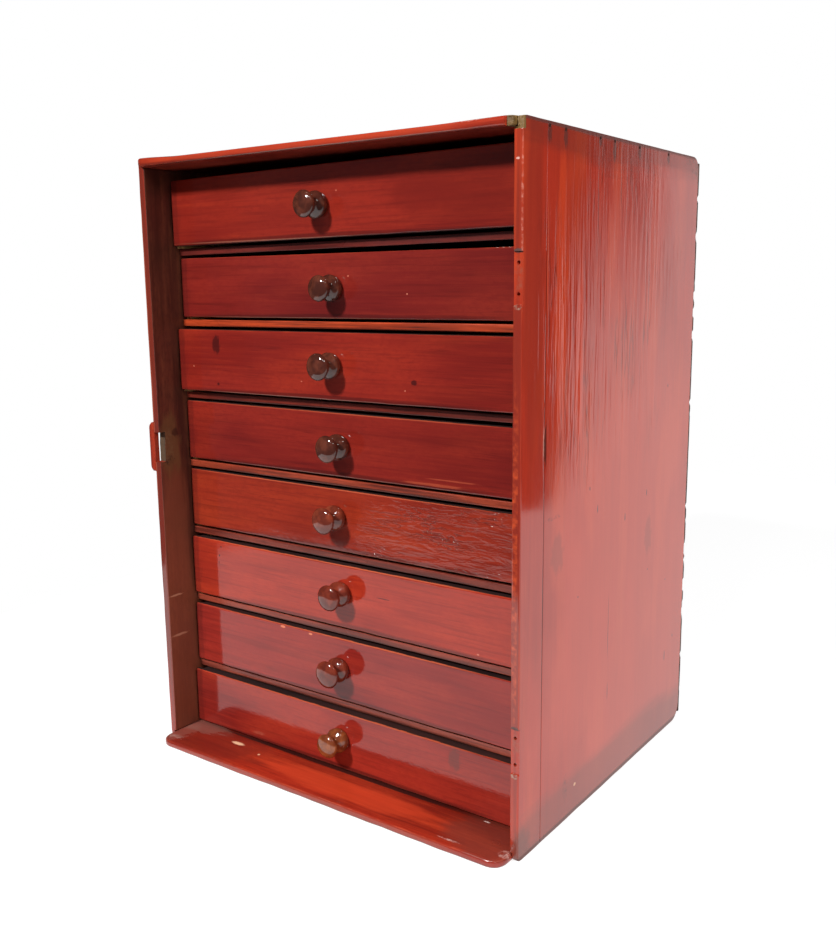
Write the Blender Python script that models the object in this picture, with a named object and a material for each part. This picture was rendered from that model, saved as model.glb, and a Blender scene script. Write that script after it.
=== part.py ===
"""Table-top collectors cabinet: a narrow carcass with a stack of shallow drawers.

Metres, +Z up. The origin is at floor level in the middle of the carcass, and the drawers face -Y.
"""

import math

import bmesh
import bpy
from mathutils import Vector

# Carcass: two full-height sides hold the top, the bottom and the dust boards between them.
CARCASS_WIDTH = 0.323
CARCASS_DEPTH = 0.266
CARCASS_HEIGHT = 0.450
SIDE_THICKNESS = 0.006
TOP_THICKNESS = 0.006
BOTTOM_THICKNESS = 0.006
BACK_THICKNESS = 0.0025
DUST_BOARD_THICKNESS = 0.005
HOUSING_DEPTH = 0.002

# The top and the bottom boards run out past the front edges of the sides.
TOP_LIP = 0.0055
TOP_LIP_CORNER = 0.0045
TOP_NOSING = 0.0018
BOTTOM_LIP = 0.0155
BOTTOM_LIP_CORNER = 0.011
BOTTOM_NOSING = 0.0024

# The right end of the top's lip has broken away.
TOP_BREAK_LENGTH = 0.0046
TOP_BREAK_DEPTH = 0.0026

# Corners of a side, worn round, and the eased arris along its outline.
SIDE_FRONT_FOOT_ROUND = 0.0045
SIDE_REAR_FOOT_ROUND = 0.013
SIDE_REAR_HEAD_ROUND = 0.009
SIDE_FRONT_HEAD_ROUND = 0.0015
SIDE_ARRIS = 0.0008
DUST_BOARD_ARRIS = 0.0008

# The right side is two boards, glued edge to edge, whose joint has opened outside.
BOARD_JOINT_FROM_FRONT = 0.0286
BOARD_JOINT_WIDTH = 0.0006
BOARD_JOINT_DEPTH = 0.0006

# The back is one rough panel nailed on behind the sides, clear of the floor and of the top.
BACK_FOOT_RISE = 0.004
BACK_HEAD_DROP = 0.004
BACK_SIDE_INSET = 0.0003

# Chips split off the back's right edge, measured from its foot and from its head.
CHIPS_ABOVE_FOOT = (0.0319, 0.0791, 0.0951, 0.1033, 0.1396, 0.1728)
CHIPS_BELOW_HEAD = (0.0444, 0.0104)
CHIP_LENGTH = 0.0036
CHIP_DEPTH = 0.0022

# Seats cut for the hinges of a door that is gone, on the front edge of the right side.
HINGE_SEAT_LENGTH = 0.030
HINGE_SEAT_DEPTH = 0.0012
LOWER_HINGE_FROM_FOOT = 0.0745
UPPER_HINGE_FROM_HEAD = 0.0885
HINGE_SCREW_SPACING = 0.0176
HINGE_SCREW_RADIUS = 0.0009
HINGE_SCREW_DEPTH = 0.007
HINGE_SCREW_SIDES = 8

# Lock notch through the front edge of the left side, bridged by a bar glued on outside.
NOTCH_DEPTH = 0.006
NOTCH_LENGTH = 0.023
NOTCH_ABOVE_MIDDLE = 0.0125
BAR_LENGTH = 0.038
BAR_PROUD = 0.0055
BAR_WIDTH = 0.005
BAR_ARRIS = 0.0016
BAR_END_ROUND = 0.0044

# Drawers, counted from the top. Each stands a little proud of the dust boards, which were housed
# by eye, a little off an even spacing, with the right end higher or lower than the left by the rise.
FRONT_SETBACK = 0.030
DRAWER_STANDOUT = (0.0065, 0.0005, 0.0065, 0.0014, 0.0010, 0.0030, 0.0030, 0.0065)
SPACE_OVER_TOP_DRAWER = 0.0042
DUST_BOARD_SHIFT = (-0.0019, -0.0012, -0.0016, -0.0012, -0.0006, -0.0015, -0.0029)
DUST_BOARD_RISE = (0.0032, 0.0008, 0.0008, 0.0, -0.0005, 0.0, 0.0)
DRAWER_END_GAP = 0.0008
DRAWER_WIDTH_GAP = 0.0012
FRONT_THICKNESS = 0.008
FRONT_LAP = 0.003
FRONT_FOOT_GAP = 0.002
FRONT_HEAD_GAPS = (0.002, 0.002, 0.002, 0.002, 0.002, 0.002, 0.002, 0.0008)
FRONT_ARRIS = 0.0009
DRAWER_SIDE_THICKNESS = 0.005
DRAWER_SIDE_DROP = 0.004
DRAWER_SIDE_ARRIS = 0.0008
DRAWER_BACK_THICKNESS = 0.005
DRAWER_BACK_INSET = 0.006
DRAWER_BACK_DROP = 0.002
DRAWER_BOTTOM_THICKNESS = 0.003
DRAWER_BOTTOM_RISE = 0.0045
GROOVE_DEPTH = 0.002

# Turned knobs, each set by eye a few millimetres off the middle of its front (across, up), and
# each with a cap of its own size.
KNOB_OFFSETS = (
    (-0.0087, -0.0024),
    (-0.0031, -0.0013),
    (-0.0007, 0.0008),
    (0.0007, -0.0008),
    (-0.0047, 0.0022),
    (0.0002, 0.0025),
    (-0.0032, 0.0007),
    (-0.0020, 0.0011),
)
KNOB_CAP_RADII = (0.0090, 0.0088, 0.0093, 0.0095, 0.0096, 0.0094, 0.0100, 0.0089)
KNOB_LENGTH = 0.0186
KNOB_SEAT_RADIUS = 0.0080
KNOB_BEAD_RADIUS = 0.0098
KNOB_BEAD_AT = 0.0042
KNOB_WAIST_RADIUS = 0.0050
KNOB_WAIST_AT = 0.0094
KNOB_CAP_AT = 0.0150
KNOB_SPIGOT_RADIUS = 0.0032
KNOB_SPIGOT_LENGTH = 0.0072
KNOB_SEGMENTS = 18
KNOB_BEAD_STEPS = 3
KNOB_NECK_STEPS = 4
KNOB_CAP_STEPS = 4
KNOB_SHARP_ANGLE = math.radians(50)

# Clearances: glued or nailed faces, sliding faces, how far a cutter runs past the wood, and how
# close two points are when they count as one.
FIT = 0.0003
RUN_GAP = 0.0003
OVERCUT = 0.004
MERGE_DISTANCE = 0.00001

# Worked out from the sizes above.
DRAWER_COUNT = len(DRAWER_STANDOUT)
FRONT_EDGE = -CARCASS_DEPTH / 2
REAR_EDGE = CARCASS_DEPTH / 2
OUTER_FACE = CARCASS_WIDTH / 2
INNER_FACE = OUTER_FACE - SIDE_THICKNESS
HOUSED_END = INNER_FACE + HOUSING_DEPTH - FIT
DUST_BOARD_FRONT = FRONT_EDGE + FRONT_SETBACK
CLEAR_HEIGHT = CARCASS_HEIGHT - TOP_THICKNESS - BOTTOM_THICKNESS - SPACE_OVER_TOP_DRAWER
BAY_PITCH = (CLEAR_HEIGHT + DUST_BOARD_THICKNESS) / DRAWER_COUNT
DRAWER_HALF_WIDTH = INNER_FACE - DRAWER_WIDTH_GAP
DRAWER_INNER_FACE = DRAWER_HALF_WIDTH - DRAWER_SIDE_THICKNESS
DRAWER_LENGTH = CARCASS_DEPTH + FIT - FRONT_SETBACK - DRAWER_END_GAP
GROOVED_EDGE = DRAWER_INNER_FACE + GROOVE_DEPTH - FIT
NOTCH_CENTRE_HEIGHT = CARCASS_HEIGHT / 2 + NOTCH_ABOVE_MIDDLE

# Finishes: name, colour, roughness.
CASE_RED = ("case_red_varnish", (0.30, 0.035, 0.018), 0.28)
FRONT_RED = ("front_red_varnish", (0.26, 0.022, 0.014), 0.24)
KNOB_BROWN = ("knob_dark_varnish", (0.060, 0.018, 0.010), 0.12)
DUST_BOARD_BROWN = ("dust_board_stain", (0.32, 0.075, 0.030), 0.40)
BACK_BROWN = ("back_rough_stain", (0.075, 0.030, 0.020), 0.70)
BARE_PINE = ("drawer_bare_pine", (0.55, 0.33, 0.16), 0.65)


def clear_scene():
    """Remove every object of the starting scene."""
    for item in list(bpy.data.objects):
        bpy.data.objects.remove(item, do_unlink=True)


def finish_material(finish):
    """The Principled material of a finish, made once."""
    name, colour, roughness = finish
    material = bpy.data.materials.get(name)
    if material is None:
        material = bpy.data.materials.new(name)
        material.use_nodes = True
        shader = material.node_tree.nodes["Principled BSDF"]
        shader.inputs["Base Color"].default_value = (*colour, 1.0)
        shader.inputs["Roughness"].default_value = roughness
        shader.inputs["Metallic"].default_value = 0.0
        material.diffuse_color = (*colour, 1.0)
    return material


def at(axis, u, v, w):
    """A point from two outline coordinates and one along the outline's normal axis."""
    if axis == "X":
        return Vector((w, u, v))
    if axis == "Y":
        return Vector((u, w, v))
    return Vector((u, v, w))


def rounded(u0, v0, u1, v1, radii, steps=4):
    """A rectangle's outline with a radius at each corner, from (u0, v0) anticlockwise."""
    corners = ((u0, v0, 1, 1, 180), (u1, v0, -1, 1, 270), (u1, v1, -1, -1, 0), (u0, v1, 1, -1, 90))
    outline = []
    for (u, v, toward_u, toward_v, start), radius in zip(corners, radii):
        if radius == 0:
            outline.append((u, v))
            continue
        for step in range(steps + 1):
            angle = math.radians(start + 90 * step / steps)
            across = u + toward_u * radius + radius * math.cos(angle)
            up = v + toward_v * radius + radius * math.sin(angle)
            outline.append((across, up))
    return outline


def plain(u0, v0, u1, v1):
    """A rectangle's outline with square corners."""
    return rounded(u0, v0, u1, v1, (0, 0, 0, 0))


def board(name, outline, axis, low, high, arris=0.0, steps=1, eased=None):
    """A mesh of an outline extruded along an axis, with the edges that eased picks rounded over."""
    shape = bmesh.new()
    lower = [shape.verts.new(at(axis, u, v, low)) for u, v in outline]
    upper = [shape.verts.new(at(axis, u, v, high)) for u, v in outline]
    shape.faces.new(lower)
    shape.faces.new(upper)
    rims = []
    for index in range(len(outline)):
        wall = shape.faces.new((lower[index - 1], lower[index], upper[index], upper[index - 1]))
        rims.append(wall.edges[0])
        rims.append(wall.edges[2])
    bmesh.ops.recalc_face_normals(shape, faces=shape.faces[:])
    if arris > 0:
        picked = []
        for edge in rims:
            middle = (edge.verts[0].co + edge.verts[1].co) / 2
            if eased is None or eased(middle):
                picked.append(edge)
        bmesh.ops.bevel(shape, geom=picked, offset=arris, segments=steps, affect="EDGES", profile=0.5)
    mesh = bpy.data.meshes.new(name)
    shape.to_mesh(mesh)
    shape.free()
    return mesh


def box(low, high):
    """A box mesh between two corners, for cutting."""
    return board("box", plain(low[0], low[1], high[0], high[1]), "Z", low[2], high[2])


def rod(centre, axis, radius, low, high, sides=12):
    """A round bar along an axis, for cutting. The centre has the two coordinates across the axis."""
    ring = []
    for index in range(sides):
        angle = 2 * math.pi * index / sides
        ring.append((centre[0] + radius * math.cos(angle), centre[1] + radius * math.sin(angle)))
    return board("rod", ring, axis, low, high)


def combine(mesh, tools, operation):
    """A copy of a mesh after Boolean steps with tool meshes, which are used up."""
    for tool in tools:
        body = bpy.data.objects.new("body", mesh)
        cutter = bpy.data.objects.new("cutter", tool)
        bpy.context.scene.collection.objects.link(body)
        bpy.context.scene.collection.objects.link(cutter)
        step = body.modifiers.new("step", "BOOLEAN")
        step.operation = operation
        step.solver = "EXACT"
        step.object = cutter
        graph = bpy.context.evaluated_depsgraph_get()
        result = bpy.data.meshes.new_from_object(body.evaluated_get(graph))
        result.name = mesh.name
        bpy.data.objects.remove(body, do_unlink=True)
        bpy.data.objects.remove(cutter, do_unlink=True)
        mesh = result
    return mesh


def carve(mesh, tools):
    """A copy of a mesh with the tool meshes cut away."""
    return combine(mesh, tools, "DIFFERENCE")


def place(name, mesh, finish, parent=None):
    """A named object for a mesh, with its finish and its parent."""
    mesh.materials.clear()
    mesh.materials.append(finish_material(finish))
    item = bpy.data.objects.new(name, mesh)
    bpy.context.scene.collection.objects.link(item)
    item.parent = parent
    return item


def empty(name, location):
    """An empty that carries a body and sits on its sliding axis."""
    item = bpy.data.objects.new(name, None)
    item.location = location
    bpy.context.scene.collection.objects.link(item)
    return item


def runner_height(index):
    """Height of the face that a drawer runs on. Index 0 is the top drawer."""
    boards_below = DRAWER_COUNT - 1 - index
    shift = DUST_BOARD_SHIFT[index] if boards_below else 0
    return BOTTOM_THICKNESS + boards_below * BAY_PITCH + shift


def runner_rise(index):
    """How much higher the right end of the face that a drawer runs on lies than its left end."""
    return DUST_BOARD_RISE[index] if index < DRAWER_COUNT - 1 else 0


def bay_height(index):
    """Clear height over the face that a drawer runs on, where the board above comes lowest."""
    if index == 0:
        ceiling = CARCASS_HEIGHT - TOP_THICKNESS - SPACE_OVER_TOP_DRAWER
    else:
        closing = abs(runner_rise(index - 1) - runner_rise(index)) / 2
        ceiling = runner_height(index - 1) - DUST_BOARD_THICKNESS - closing
    return ceiling - runner_height(index)


def lean(mesh, rise):
    """Shear a mesh so that, over the case's inner width, its right end lies higher by the rise."""
    for vertex in mesh.vertices:
        vertex.co.z += rise * vertex.co.x / (2 * INNER_FACE)
    return mesh


def side_outline():
    """A side seen square on, from its front foot, with its worn corners."""
    radii = (SIDE_FRONT_FOOT_ROUND, SIDE_REAR_FOOT_ROUND, SIDE_REAR_HEAD_ROUND, SIDE_FRONT_HEAD_ROUND)
    return rounded(FRONT_EDGE, 0, REAR_EDGE, CARCASS_HEIGHT, radii)


def across(hand, near, far, low, high):
    """A cutting box between two distances from the middle, on the left (-1) or the right (1)."""
    ends = sorted((hand * near, hand * far))
    return box((ends[0], low[0], low[1]), (ends[1], high[0], high[1]))


def housings(hand):
    """The housings in a side: for the top, for the bottom and for each dust board."""
    near = INNER_FACE - OVERCUT
    far = INNER_FACE + HOUSING_DEPTH
    front = FRONT_EDGE - OVERCUT
    rear = REAR_EDGE + OVERCUT
    head = CARCASS_HEIGHT - TOP_THICKNESS - FIT
    tools = [
        across(hand, near, far, (front, head), (rear, CARCASS_HEIGHT + OVERCUT)),
        across(hand, near, far, (front, -OVERCUT), (rear, BOTTOM_THICKNESS + FIT)),
    ]
    for index in range(DRAWER_COUNT - 1):
        top = runner_height(index) + hand * runner_rise(index) / 2
        low = (DUST_BOARD_FRONT - FIT, top - DUST_BOARD_THICKNESS - FIT)
        tools.append(across(hand, near, far, low, (rear, top + FIT)))
    return tools


def hinge_seats():
    """The two hinge seats and their screw holes, in the front edge of the right side."""
    tools = []
    seat_floor = FRONT_EDGE + HINGE_SEAT_DEPTH
    middle = (INNER_FACE + OUTER_FACE) / 2
    for height in (LOWER_HINGE_FROM_FOOT, CARCASS_HEIGHT - UPPER_HINGE_FROM_HEAD):
        low = (FRONT_EDGE - OVERCUT, height - HINGE_SEAT_LENGTH / 2)
        high = (seat_floor, height + HINGE_SEAT_LENGTH / 2)
        tools.append(across(1, INNER_FACE - OVERCUT, OUTER_FACE + OVERCUT, low, high))
        for side in (-1, 1):
            centre = (middle, height + side * HINGE_SCREW_SPACING / 2)
            end = seat_floor + HINGE_SCREW_DEPTH
            tools.append(rod(centre, "Y", HINGE_SCREW_RADIUS, FRONT_EDGE, end, HINGE_SCREW_SIDES))
    return tools


def board_joint():
    """The opened joint between the two boards of the right side, a thin groove up its outer face."""
    middle = FRONT_EDGE + BOARD_JOINT_FROM_FRONT
    low = (middle - BOARD_JOINT_WIDTH / 2, -OVERCUT)
    high = (middle + BOARD_JOINT_WIDTH / 2, CARCASS_HEIGHT + OVERCUT)
    return across(1, OUTER_FACE - BOARD_JOINT_DEPTH, OUTER_FACE + OVERCUT, low, high)


def lock_notch():
    """The notch through the front edge of the left side."""
    low = (FRONT_EDGE - OVERCUT, NOTCH_CENTRE_HEIGHT - NOTCH_LENGTH / 2)
    high = (FRONT_EDGE + NOTCH_DEPTH, NOTCH_CENTRE_HEIGHT + NOTCH_LENGTH / 2)
    return across(-1, INNER_FACE - OVERCUT, OUTER_FACE + OVERCUT, low, high)


def lock_bar():
    """The round-ended bar across the notch, bedded a little into the outer face."""
    low = NOTCH_CENTRE_HEIGHT - BAR_LENGTH / 2
    high = NOTCH_CENTRE_HEIGHT + BAR_LENGTH / 2
    proud = -OUTER_FACE - BAR_PROUD
    bedded = -OUTER_FACE + FIT
    outline = rounded(proud, low, bedded, high, (BAR_END_ROUND, 0, 0, BAR_END_ROUND))
    front = FRONT_EDGE - FIT
    rear = front + BAR_WIDTH
    return board("lock_bar", outline, "Y", front, rear, BAR_ARRIS, 2, lambda middle: middle.x < bedded)


def build_sides():
    """Both carcass sides. The left one carries the lock bar."""
    for name, hand in (("side_left", -1), ("side_right", 1)):
        ends = sorted((hand * INNER_FACE, hand * OUTER_FACE))
        mesh = board(name, side_outline(), "X", ends[0], ends[1], SIDE_ARRIS, 2)
        mesh = carve(mesh, housings(hand))
        if hand < 0:
            mesh = carve(mesh, [lock_notch()])
            mesh = combine(mesh, [lock_bar()], "UNION")
        else:
            mesh = carve(mesh, hinge_seats() + [board_joint()])
        place(name, mesh, CASE_RED)


def lipped_board(name, lip, corner, nosing, low, high):
    """The mesh of a board housed in the sides, with a round-cornered lip past their front edges."""
    outline = rounded(-HOUSED_END, FRONT_EDGE - lip, HOUSED_END, REAR_EDGE, (corner, corner, 0, 0))
    nosing_end = FRONT_EDGE - lip + corner
    return board(name, outline, "Z", low, high, nosing, 2, lambda middle: middle.y < nosing_end)


def build_top():
    """The top board, with the end of its lip broken away on the right."""
    under = CARCASS_HEIGHT - TOP_THICKNESS
    mesh = lipped_board("top_board", TOP_LIP, TOP_LIP_CORNER, TOP_NOSING, under, CARCASS_HEIGHT)
    low = (FRONT_EDGE - TOP_LIP - OVERCUT, under - OVERCUT)
    high = (FRONT_EDGE - TOP_LIP + TOP_BREAK_DEPTH, CARCASS_HEIGHT + OVERCUT)
    broken = across(1, HOUSED_END - TOP_BREAK_LENGTH, HOUSED_END + OVERCUT, low, high)
    place("top_board", carve(mesh, [broken]), CASE_RED)


def build_bottom():
    """The bottom board, which runs out further than the top."""
    mesh = lipped_board("bottom_board", BOTTOM_LIP, BOTTOM_LIP_CORNER, BOTTOM_NOSING, 0, BOTTOM_THICKNESS)
    place("bottom_board", mesh, CASE_RED)


def build_dust_boards():
    """The boards between the drawers, housed in both sides."""
    for index in range(DRAWER_COUNT - 1):
        name = "dust_board_%d" % (index + 1)
        top = runner_height(index)
        low = top - DUST_BOARD_THICKNESS
        outline = plain(-HOUSED_END, DUST_BOARD_FRONT, HOUSED_END, REAR_EDGE)
        front = DUST_BOARD_FRONT + FIT
        mesh = board(name, outline, "Z", low, top, DUST_BOARD_ARRIS, 2, lambda middle: middle.y < front)
        place(name, lean(mesh, runner_rise(index)), DUST_BOARD_BROWN)


def back_outline():
    """The back seen square on, with the chips along its right edge."""
    edge = OUTER_FACE - BACK_SIDE_INSET
    foot = BACK_FOOT_RISE
    head = CARCASS_HEIGHT - BACK_HEAD_DROP
    chips = [foot + rise for rise in CHIPS_ABOVE_FOOT] + [head - drop for drop in CHIPS_BELOW_HEAD]
    outline = [(-edge, foot), (edge, foot)]
    for middle in chips:
        outline.append((edge, middle - CHIP_LENGTH / 2))
        outline.append((edge - CHIP_DEPTH, middle))
        outline.append((edge, middle + CHIP_LENGTH / 2))
    outline.append((edge, head))
    outline.append((-edge, head))
    return outline


def build_back():
    """The panel nailed on behind the sides."""
    outline = back_outline()
    front = REAR_EDGE + FIT
    place("back_panel", board("back_panel", outline, "Y", front, front + BACK_THICKNESS), BACK_BROWN)


def front_mesh(name, head, knob_across, knob_height):
    """A drawer front: lapped over the sides, grooved for the bottom and bored for its knob."""
    foot = FRONT_FOOT_GAP
    outline = plain(-DRAWER_HALF_WIDTH, foot, DRAWER_HALF_WIDTH, head)
    mesh = board(name, outline, "Y", 0, FRONT_THICKNESS, FRONT_ARRIS, 2, lambda middle: middle.y <= 0)
    tools = []
    for hand in (-1, 1):
        low = (FRONT_LAP, foot - OVERCUT)
        high = (FRONT_THICKNESS + OVERCUT, head + OVERCUT)
        tools.append(across(hand, DRAWER_INNER_FACE - FIT, DRAWER_HALF_WIDTH + OVERCUT, low, high))
    groove_low = (-DRAWER_INNER_FACE, FRONT_THICKNESS - GROOVE_DEPTH, DRAWER_BOTTOM_RISE - FIT)
    groove_top = DRAWER_BOTTOM_RISE + DRAWER_BOTTOM_THICKNESS + FIT
    tools.append(box(groove_low, (DRAWER_INNER_FACE, FRONT_THICKNESS + OVERCUT, groove_top)))
    centre = (knob_across, knob_height)
    tools.append(rod(centre, "Y", KNOB_SPIGOT_RADIUS + FIT, -OVERCUT, FRONT_THICKNESS + OVERCUT))
    return carve(mesh, tools)


def drawer_side_mesh(name, bay, hand):
    """A drawer side: grooved for the bottom and housed for the back."""
    head = bay - DRAWER_SIDE_DROP
    ends = sorted((hand * DRAWER_INNER_FACE, hand * DRAWER_HALF_WIDTH))
    outline = plain(ends[0], FRONT_LAP + FIT, ends[1], DRAWER_LENGTH)
    mesh = board(
        name, outline, "Z", RUN_GAP, head, DRAWER_SIDE_ARRIS, 1,
        lambda middle: middle.z > RUN_GAP + FIT and FRONT_LAP + FIT < middle.y < DRAWER_LENGTH,
    )
    near = DRAWER_INNER_FACE - OVERCUT
    far = DRAWER_INNER_FACE + GROOVE_DEPTH
    low = (FRONT_LAP - OVERCUT, DRAWER_BOTTOM_RISE - FIT)
    high = (DRAWER_LENGTH + OVERCUT, DRAWER_BOTTOM_RISE + DRAWER_BOTTOM_THICKNESS + FIT)
    groove = across(hand, near, far, low, high)
    rear = DRAWER_LENGTH - DRAWER_BACK_INSET
    low = (rear - DRAWER_BACK_THICKNESS - FIT, DRAWER_BOTTOM_RISE)
    housing = across(hand, near, far, low, (rear + FIT, head + OVERCUT))
    return carve(mesh, [groove, housing])


def drawer_back_mesh(name, bay):
    """A drawer back: housed in the sides, standing on the bottom."""
    foot = DRAWER_BOTTOM_RISE + DRAWER_BOTTOM_THICKNESS + FIT
    head = bay - DRAWER_SIDE_DROP - DRAWER_BACK_DROP
    outline = plain(-GROOVED_EDGE, foot, GROOVED_EDGE, head)
    rear = DRAWER_LENGTH - DRAWER_BACK_INSET
    return board(name, outline, "Y", rear - DRAWER_BACK_THICKNESS, rear)


def drawer_bottom_mesh(name):
    """A drawer bottom: slid into the grooves of the sides and the front from behind."""
    front = FRONT_THICKNESS - GROOVE_DEPTH + FIT
    outline = plain(-GROOVED_EDGE, front, GROOVED_EDGE, DRAWER_LENGTH)
    low = DRAWER_BOTTOM_RISE
    return board(name, outline, "Z", low, low + DRAWER_BOTTOM_THICKNESS)


def swell(start, end, from_radius, to_radius):
    """Profile stations that ease from one radius to another, without the first one."""
    stations = []
    for step in range(1, KNOB_NECK_STEPS + 1):
        share = step / KNOB_NECK_STEPS
        blend = (1 - math.cos(math.pi * share)) / 2
        stations.append((start + (end - start) * share, from_radius + (to_radius - from_radius) * blend))
    return stations


def knob_profile(cap_radius):
    """Stations (distance from the drawer's face, radius) from the spigot's end to the cap's crown."""
    profile = [(-KNOB_SPIGOT_LENGTH, 0.0), (-KNOB_SPIGOT_LENGTH, KNOB_SPIGOT_RADIUS)]
    profile += [(FIT, KNOB_SPIGOT_RADIUS), (FIT, KNOB_SEAT_RADIUS)]
    for step in range(1, KNOB_BEAD_STEPS + 1):
        angle = math.pi / 2 * step / KNOB_BEAD_STEPS
        out = FIT + (KNOB_BEAD_AT - FIT) * (1 - math.cos(angle))
        profile.append((out, KNOB_SEAT_RADIUS + (KNOB_BEAD_RADIUS - KNOB_SEAT_RADIUS) * math.sin(angle)))
    profile += swell(KNOB_BEAD_AT, KNOB_WAIST_AT, KNOB_BEAD_RADIUS, KNOB_WAIST_RADIUS)
    profile += swell(KNOB_WAIST_AT, KNOB_CAP_AT, KNOB_WAIST_RADIUS, cap_radius)
    for step in range(1, KNOB_CAP_STEPS + 1):
        angle = math.pi / 2 * step / KNOB_CAP_STEPS
        out = KNOB_CAP_AT + (KNOB_LENGTH - KNOB_CAP_AT) * math.sin(angle)
        profile.append((out, cap_radius * math.cos(angle)))
    return profile


def knob_mesh(name, cap_radius):
    """A turned knob about its own axis, which points out along -Y."""
    shape = bmesh.new()
    profile = knob_profile(cap_radius)
    points = [shape.verts.new((radius, -out, 0)) for out, radius in profile[:-1]]
    points.append(shape.verts.new((0, -KNOB_LENGTH, 0)))
    edges = [shape.edges.new((points[k], points[k + 1])) for k in range(len(points) - 1)]
    bmesh.ops.spin(
        shape, geom=points + edges, cent=(0, 0, 0), axis=(0, 1, 0), dvec=(0, 0, 0),
        angle=2 * math.pi, steps=KNOB_SEGMENTS, use_merge=True,
    )
    bmesh.ops.remove_doubles(shape, verts=shape.verts[:], dist=MERGE_DISTANCE)
    bmesh.ops.recalc_face_normals(shape, faces=shape.faces[:])
    mesh = bpy.data.meshes.new(name)
    shape.to_mesh(mesh)
    shape.free()
    mesh.shade_smooth()
    mesh.set_sharp_from_angle(angle=KNOB_SHARP_ANGLE)
    return mesh


def build_drawer(index):
    """A drawer on its own empty, at the middle of its front's foot line, leaning with its runner."""
    name = "drawer_%d" % (index + 1)
    bay = bay_height(index)
    rise = runner_rise(index)
    carrier = empty(name, (0, DUST_BOARD_FRONT - DRAWER_STANDOUT[index], runner_height(index)))
    head = bay - FRONT_HEAD_GAPS[index]
    knob_across, knob_up = KNOB_OFFSETS[index]
    knob_height = (FRONT_FOOT_GAP + head) / 2 + knob_up
    box_pieces = {
        "_side_left": drawer_side_mesh(name + "_side_left", bay, -1),
        "_side_right": drawer_side_mesh(name + "_side_right", bay, 1),
        "_back": drawer_back_mesh(name + "_back", bay),
        "_bottom": drawer_bottom_mesh(name + "_bottom"),
    }
    front = front_mesh(name + "_front", head, knob_across, knob_height)
    place(name + "_front", lean(front, rise), FRONT_RED, carrier)
    for piece, mesh in box_pieces.items():
        place(name + piece, lean(mesh, rise), BARE_PINE, carrier)
    knob = knob_mesh(name + "_knob", KNOB_CAP_RADII[index])
    handle = place(name + "_knob", knob, KNOB_BROWN, carrier)
    handle.location = (knob_across, 0, knob_height + rise * knob_across / (2 * INNER_FACE))


def build_drawers():
    """Every drawer, from the top one down."""
    for index in range(DRAWER_COUNT):
        build_drawer(index)


def main():
    """Build the cabinet."""
    clear_scene()
    build_sides()
    build_top()
    build_bottom()
    build_dust_boards()
    build_back()
    build_drawers()


main()
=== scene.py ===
"""Looks of a table-top collectors cabinet: worn boards, turned knobs, finishes, light and camera.

Metres, +Z up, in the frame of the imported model. The drawers face -Y.
"""

import logging
import math
from collections.abc import Callable
from dataclasses import dataclass, replace
from enum import Enum

import bmesh
import bpy
import numpy as np
from mathutils import Euler, Matrix, Vector, noise


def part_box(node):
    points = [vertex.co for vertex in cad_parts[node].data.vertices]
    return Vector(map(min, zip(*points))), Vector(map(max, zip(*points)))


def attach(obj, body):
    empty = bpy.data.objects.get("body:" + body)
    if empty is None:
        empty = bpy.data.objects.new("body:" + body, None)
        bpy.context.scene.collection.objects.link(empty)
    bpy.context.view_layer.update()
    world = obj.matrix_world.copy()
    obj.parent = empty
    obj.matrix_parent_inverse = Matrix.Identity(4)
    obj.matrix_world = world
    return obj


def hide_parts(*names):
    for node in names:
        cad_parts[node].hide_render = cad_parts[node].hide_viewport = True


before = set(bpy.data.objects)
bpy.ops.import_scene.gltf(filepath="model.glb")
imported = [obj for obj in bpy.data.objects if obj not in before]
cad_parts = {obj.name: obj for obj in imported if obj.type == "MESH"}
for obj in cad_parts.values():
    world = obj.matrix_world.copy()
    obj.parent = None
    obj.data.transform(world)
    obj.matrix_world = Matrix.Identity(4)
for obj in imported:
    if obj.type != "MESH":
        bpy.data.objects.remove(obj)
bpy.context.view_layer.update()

Colour = tuple[float, float, float]
Point = tuple[float, float, float]
Socket = bpy.types.NodeSocket
Value = Socket | float
Tint = Socket | Colour
Layer = tuple[Value, float, float, float, Tint]
Shaper = Callable[[np.ndarray, np.ndarray], None]
Chooser = Callable[[Vector, Vector], int]

LOG = logging.getLogger("cabinet")
DRAWER_COUNT = 8


def srgb(red: int, green: int, blue: int) -> Colour:
    """A linear colour from display values.

    Args:
        red, green, blue: display values from 0 to 255.

    Returns:
        The linear colour that the shaders take.
    """
    def channel(level: int) -> float:
        """One display value as a linear one."""
        share = level / 255
        return share / 12.92 if share <= 0.04045 else ((share + 0.055) / 1.055) ** 2.4

    return channel(red), channel(green), channel(blue)


def shade(colour: Colour, red: float, green: float, blue: float) -> Colour:
    """A colour with each channel scaled."""
    return colour[0] * red, colour[1] * green, colour[2] * blue


class Axis(Enum):
    """The frame's axes, for a board's thickness and for the run of its grain."""

    X = 0
    Y = 1
    Z = 2

    @property
    def plane(self) -> tuple[int, int]:
        """The other two axes, in order."""
        first, second = (index for index in range(3) if index != self.value)
        return first, second


TEXTURE_SHIFT = (3.7, 5.3, 7.1)
SPECK_CORE = 0.6


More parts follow.
